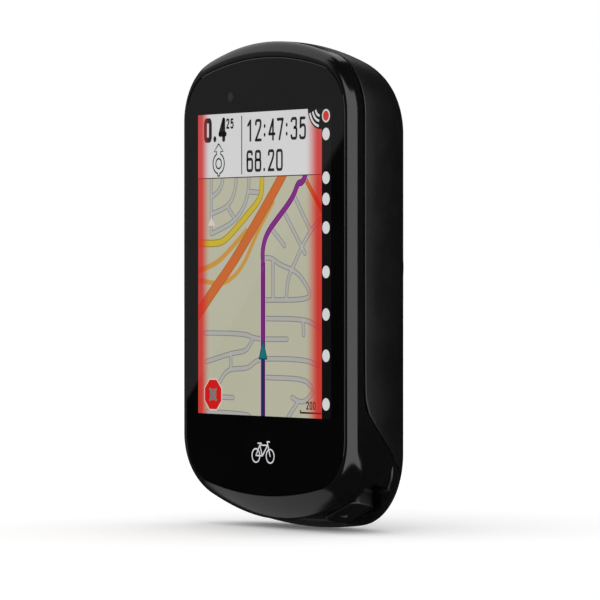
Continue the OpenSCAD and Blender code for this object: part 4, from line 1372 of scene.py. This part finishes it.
# Aim of the view beside the object's middle, to the right and down, as a share of its distance
AIM_RIGHT, AIM_DOWN = 0.008993, 0.004545
VIEW_Z = 0.65
LENS, SENSOR = 246.2, 36
# Bent cards: how far they stand from the object, and the number of flat faces in each
CARD_R, CARD_STEPS = 900, 24
# Two points on the glass that the lower edge of the glare passes through, and its card's size
GLARE_LINE = ((23.3, 0, 24.6), (-23.0, 0, -19.6))
GLARE_REACH, GLARE_LONG, GLARE_WIDE = 2.4, 900.0, 700


def camera():
    a = VIEW_AZIMUTH
    data = bpy.data.cameras.new("view")
    data.lens = LENS
    data.sensor_width = SENSOR
    data.clip_start = 0.01
    data.clip_end = 50
    cam = bpy.data.objects.new("view", data)
    bpy.context.scene.collection.objects.link(cam)
    cam.location = place([VIEW_DISTANCE * math.sin(a), -VIEW_DISTANCE * math.cos(a), VIEW_Z])
    ahead = Vector((-math.sin(a), math.cos(a), 0))
    right = Vector((math.cos(a), math.sin(a), 0))
    look = ahead + right * AIM_RIGHT - Vector((0, 0, AIM_DOWN))
    cam.rotation_euler = look.to_track_quat("-Z", "Y").to_euler()
    bpy.context.scene.camera = cam


def emitter(name, strength):
    mat = bpy.data.materials.new(name)
    mat.use_nodes = True
    tree = mat.node_tree
    tree.nodes.clear()
    light = tree.nodes.new("ShaderNodeEmission")
    light.inputs[0].default_value = (1, 1, 1, 1)
    light.inputs[1].default_value = strength
    out = tree.nodes.new("ShaderNodeOutputMaterial")
    tree.links.new(light.outputs[0], out.inputs[0])
    return mat


def stage_mesh(name, points, faces, material):
    """Mesh of body-millimetre points that belongs to the stage, not to the object."""
    mesh = bpy.data.meshes.new(name)
    mesh.from_pydata(place(points).tolist(), [], faces)
    obj = bpy.data.objects.new(name, mesh)
    bpy.context.scene.collection.objects.link(obj)
    mesh.materials.append(material)
    return obj


def card(name, points, faces, strength):
    """Glowing card that only reflections see."""
    obj = stage_mesh(name, points, faces, emitter(name + "_light", strength))
    obj.visible_camera = False
    obj.visible_diffuse = False
    obj.visible_shadow = False
    return obj


def curved_card(name, azimuths, bottom, top, strength):
    """Upright card bent around the object between two azimuths, with its elevations.

    Angles are in degrees; bottom holds the elevation at the first and the last azimuth.
    """
    a = np.radians(np.linspace(*azimuths, CARD_STEPS + 1))
    low = np.linspace(*bottom, CARD_STEPS + 1)
    rows = [np.column_stack([CARD_R * np.sin(a), -CARD_R * np.cos(a),
                             CARD_R * np.tan(np.radians(e))])
            for e in (low, np.full(CARD_STEPS + 1, top))]
    n = CARD_STEPS + 1
    faces = [(k, k + 1, k + 1 + n, k + n) for k in range(CARD_STEPS)]
    card(name, np.vstack(rows), faces, strength)


def glare_card():
    """Card whose straight lower edge shows as a slanting line across the glass."""
    a = VIEW_AZIMUTH
    eye = np.array([VIEW_DISTANCE * math.sin(a), VIEW_DISTANCE * math.cos(a), VIEW_Z])
    p0, p1 = np.array(GLARE_LINE[0]), np.array(GLARE_LINE[1])
    edge = [p + (p - eye) * GLARE_REACH for p in (p0, p1)]
    along = (edge[1] - edge[0]) / np.linalg.norm(edge[1] - edge[0])
    view = (edge[0] + edge[1]) / 2 - eye
    across = np.cross(along, view)
    across /= np.linalg.norm(across)
    if across[2] < 0:
        across = -across
    ends = [edge[0] - along * GLARE_LONG, edge[1] + along * GLARE_LONG]
    corners = ends + [p + across * GLARE_WIDE for p in reversed(ends)]
    obj = card("glare_card", corners, [(0, 1, 2, 3)], 0.2)
    obj.visible_transmission = False


def studio_cards():
    """Softboxes: side, upper left and lower left of the object, each seen in its gloss."""
    curved_card("side_card", (-10, 113), (-34, -34), 39, 2.1)
    curved_card("upper_left_card", (-150, -46), (30, 13), 65, 0.85)
    curved_card("lower_left_card", (-97, -60), (-50, -50), -26, 0.42)
    glare_card()


def world():
    scene_world = bpy.data.worlds.new("studio")
    bpy.context.scene.world = scene_world
    scene_world.use_nodes = True
    nodes = Nodes(scene_world.node_tree)
    back = scene_world.node_tree.nodes["Background"]
    path = nodes.add("ShaderNodeLightPath")
    strength = nodes.math("MULTIPLY", path.outputs["Is Glossy Ray"], -0.985)
    back.inputs["Color"].default_value = (1, 1, 1, 1)
    nodes.link(nodes.math("ADD", strength, 1.0), back.inputs["Strength"])


def floor():
    corners = [(sx * FLOOR_HALF, sy * FLOOR_HALF, FLOOR_Z)
               for sx, sy in ((-1, -1), (1, -1), (1, 1), (-1, 1))]
    mat = bpy.data.materials.new("floor_paint")
    mat.use_nodes = True
    shader = mat.node_tree.nodes["Principled BSDF"]
    shader.inputs["Base Color"].default_value = (0.98, 0.98, 0.98, 1)
    shader.inputs["Roughness"].default_value = 0.9
    shader.inputs["Specular IOR Level"].default_value = 0.0
    shader.inputs["Emission Color"].default_value = (1, 1, 1, 1)
    shader.inputs["Emission Strength"].default_value = FLOOR_GLOW
    nodes = Nodes(mat.node_tree)
    seen_from = nodes.add("ShaderNodeNewGeometry").outputs["Backfacing"]
    nodes.link(nodes.math("SUBTRACT", 1.0, seen_from), shader.inputs["Alpha"])
    obj = stage_mesh("floor", corners, [(0, 1, 2, 3)], mat)
    obj.visible_glossy = False


def colour_settings():
    view = bpy.context.scene.view_settings
    view.view_transform = "Standard"
    view.look = "None"
    view.exposure = 0.0
    view.gamma = 1.0


# ---------------------------------------------------------------- assembly

dress_nodes()
build_front()
build_rear()
for each_key in KEYS:
    build_key(each_key)
start_icon()
lap_icon()
port_cap()
cap_plug()
build_glass()
build_picture()
floor()
world()
studio_cards()
camera()
colour_settings()
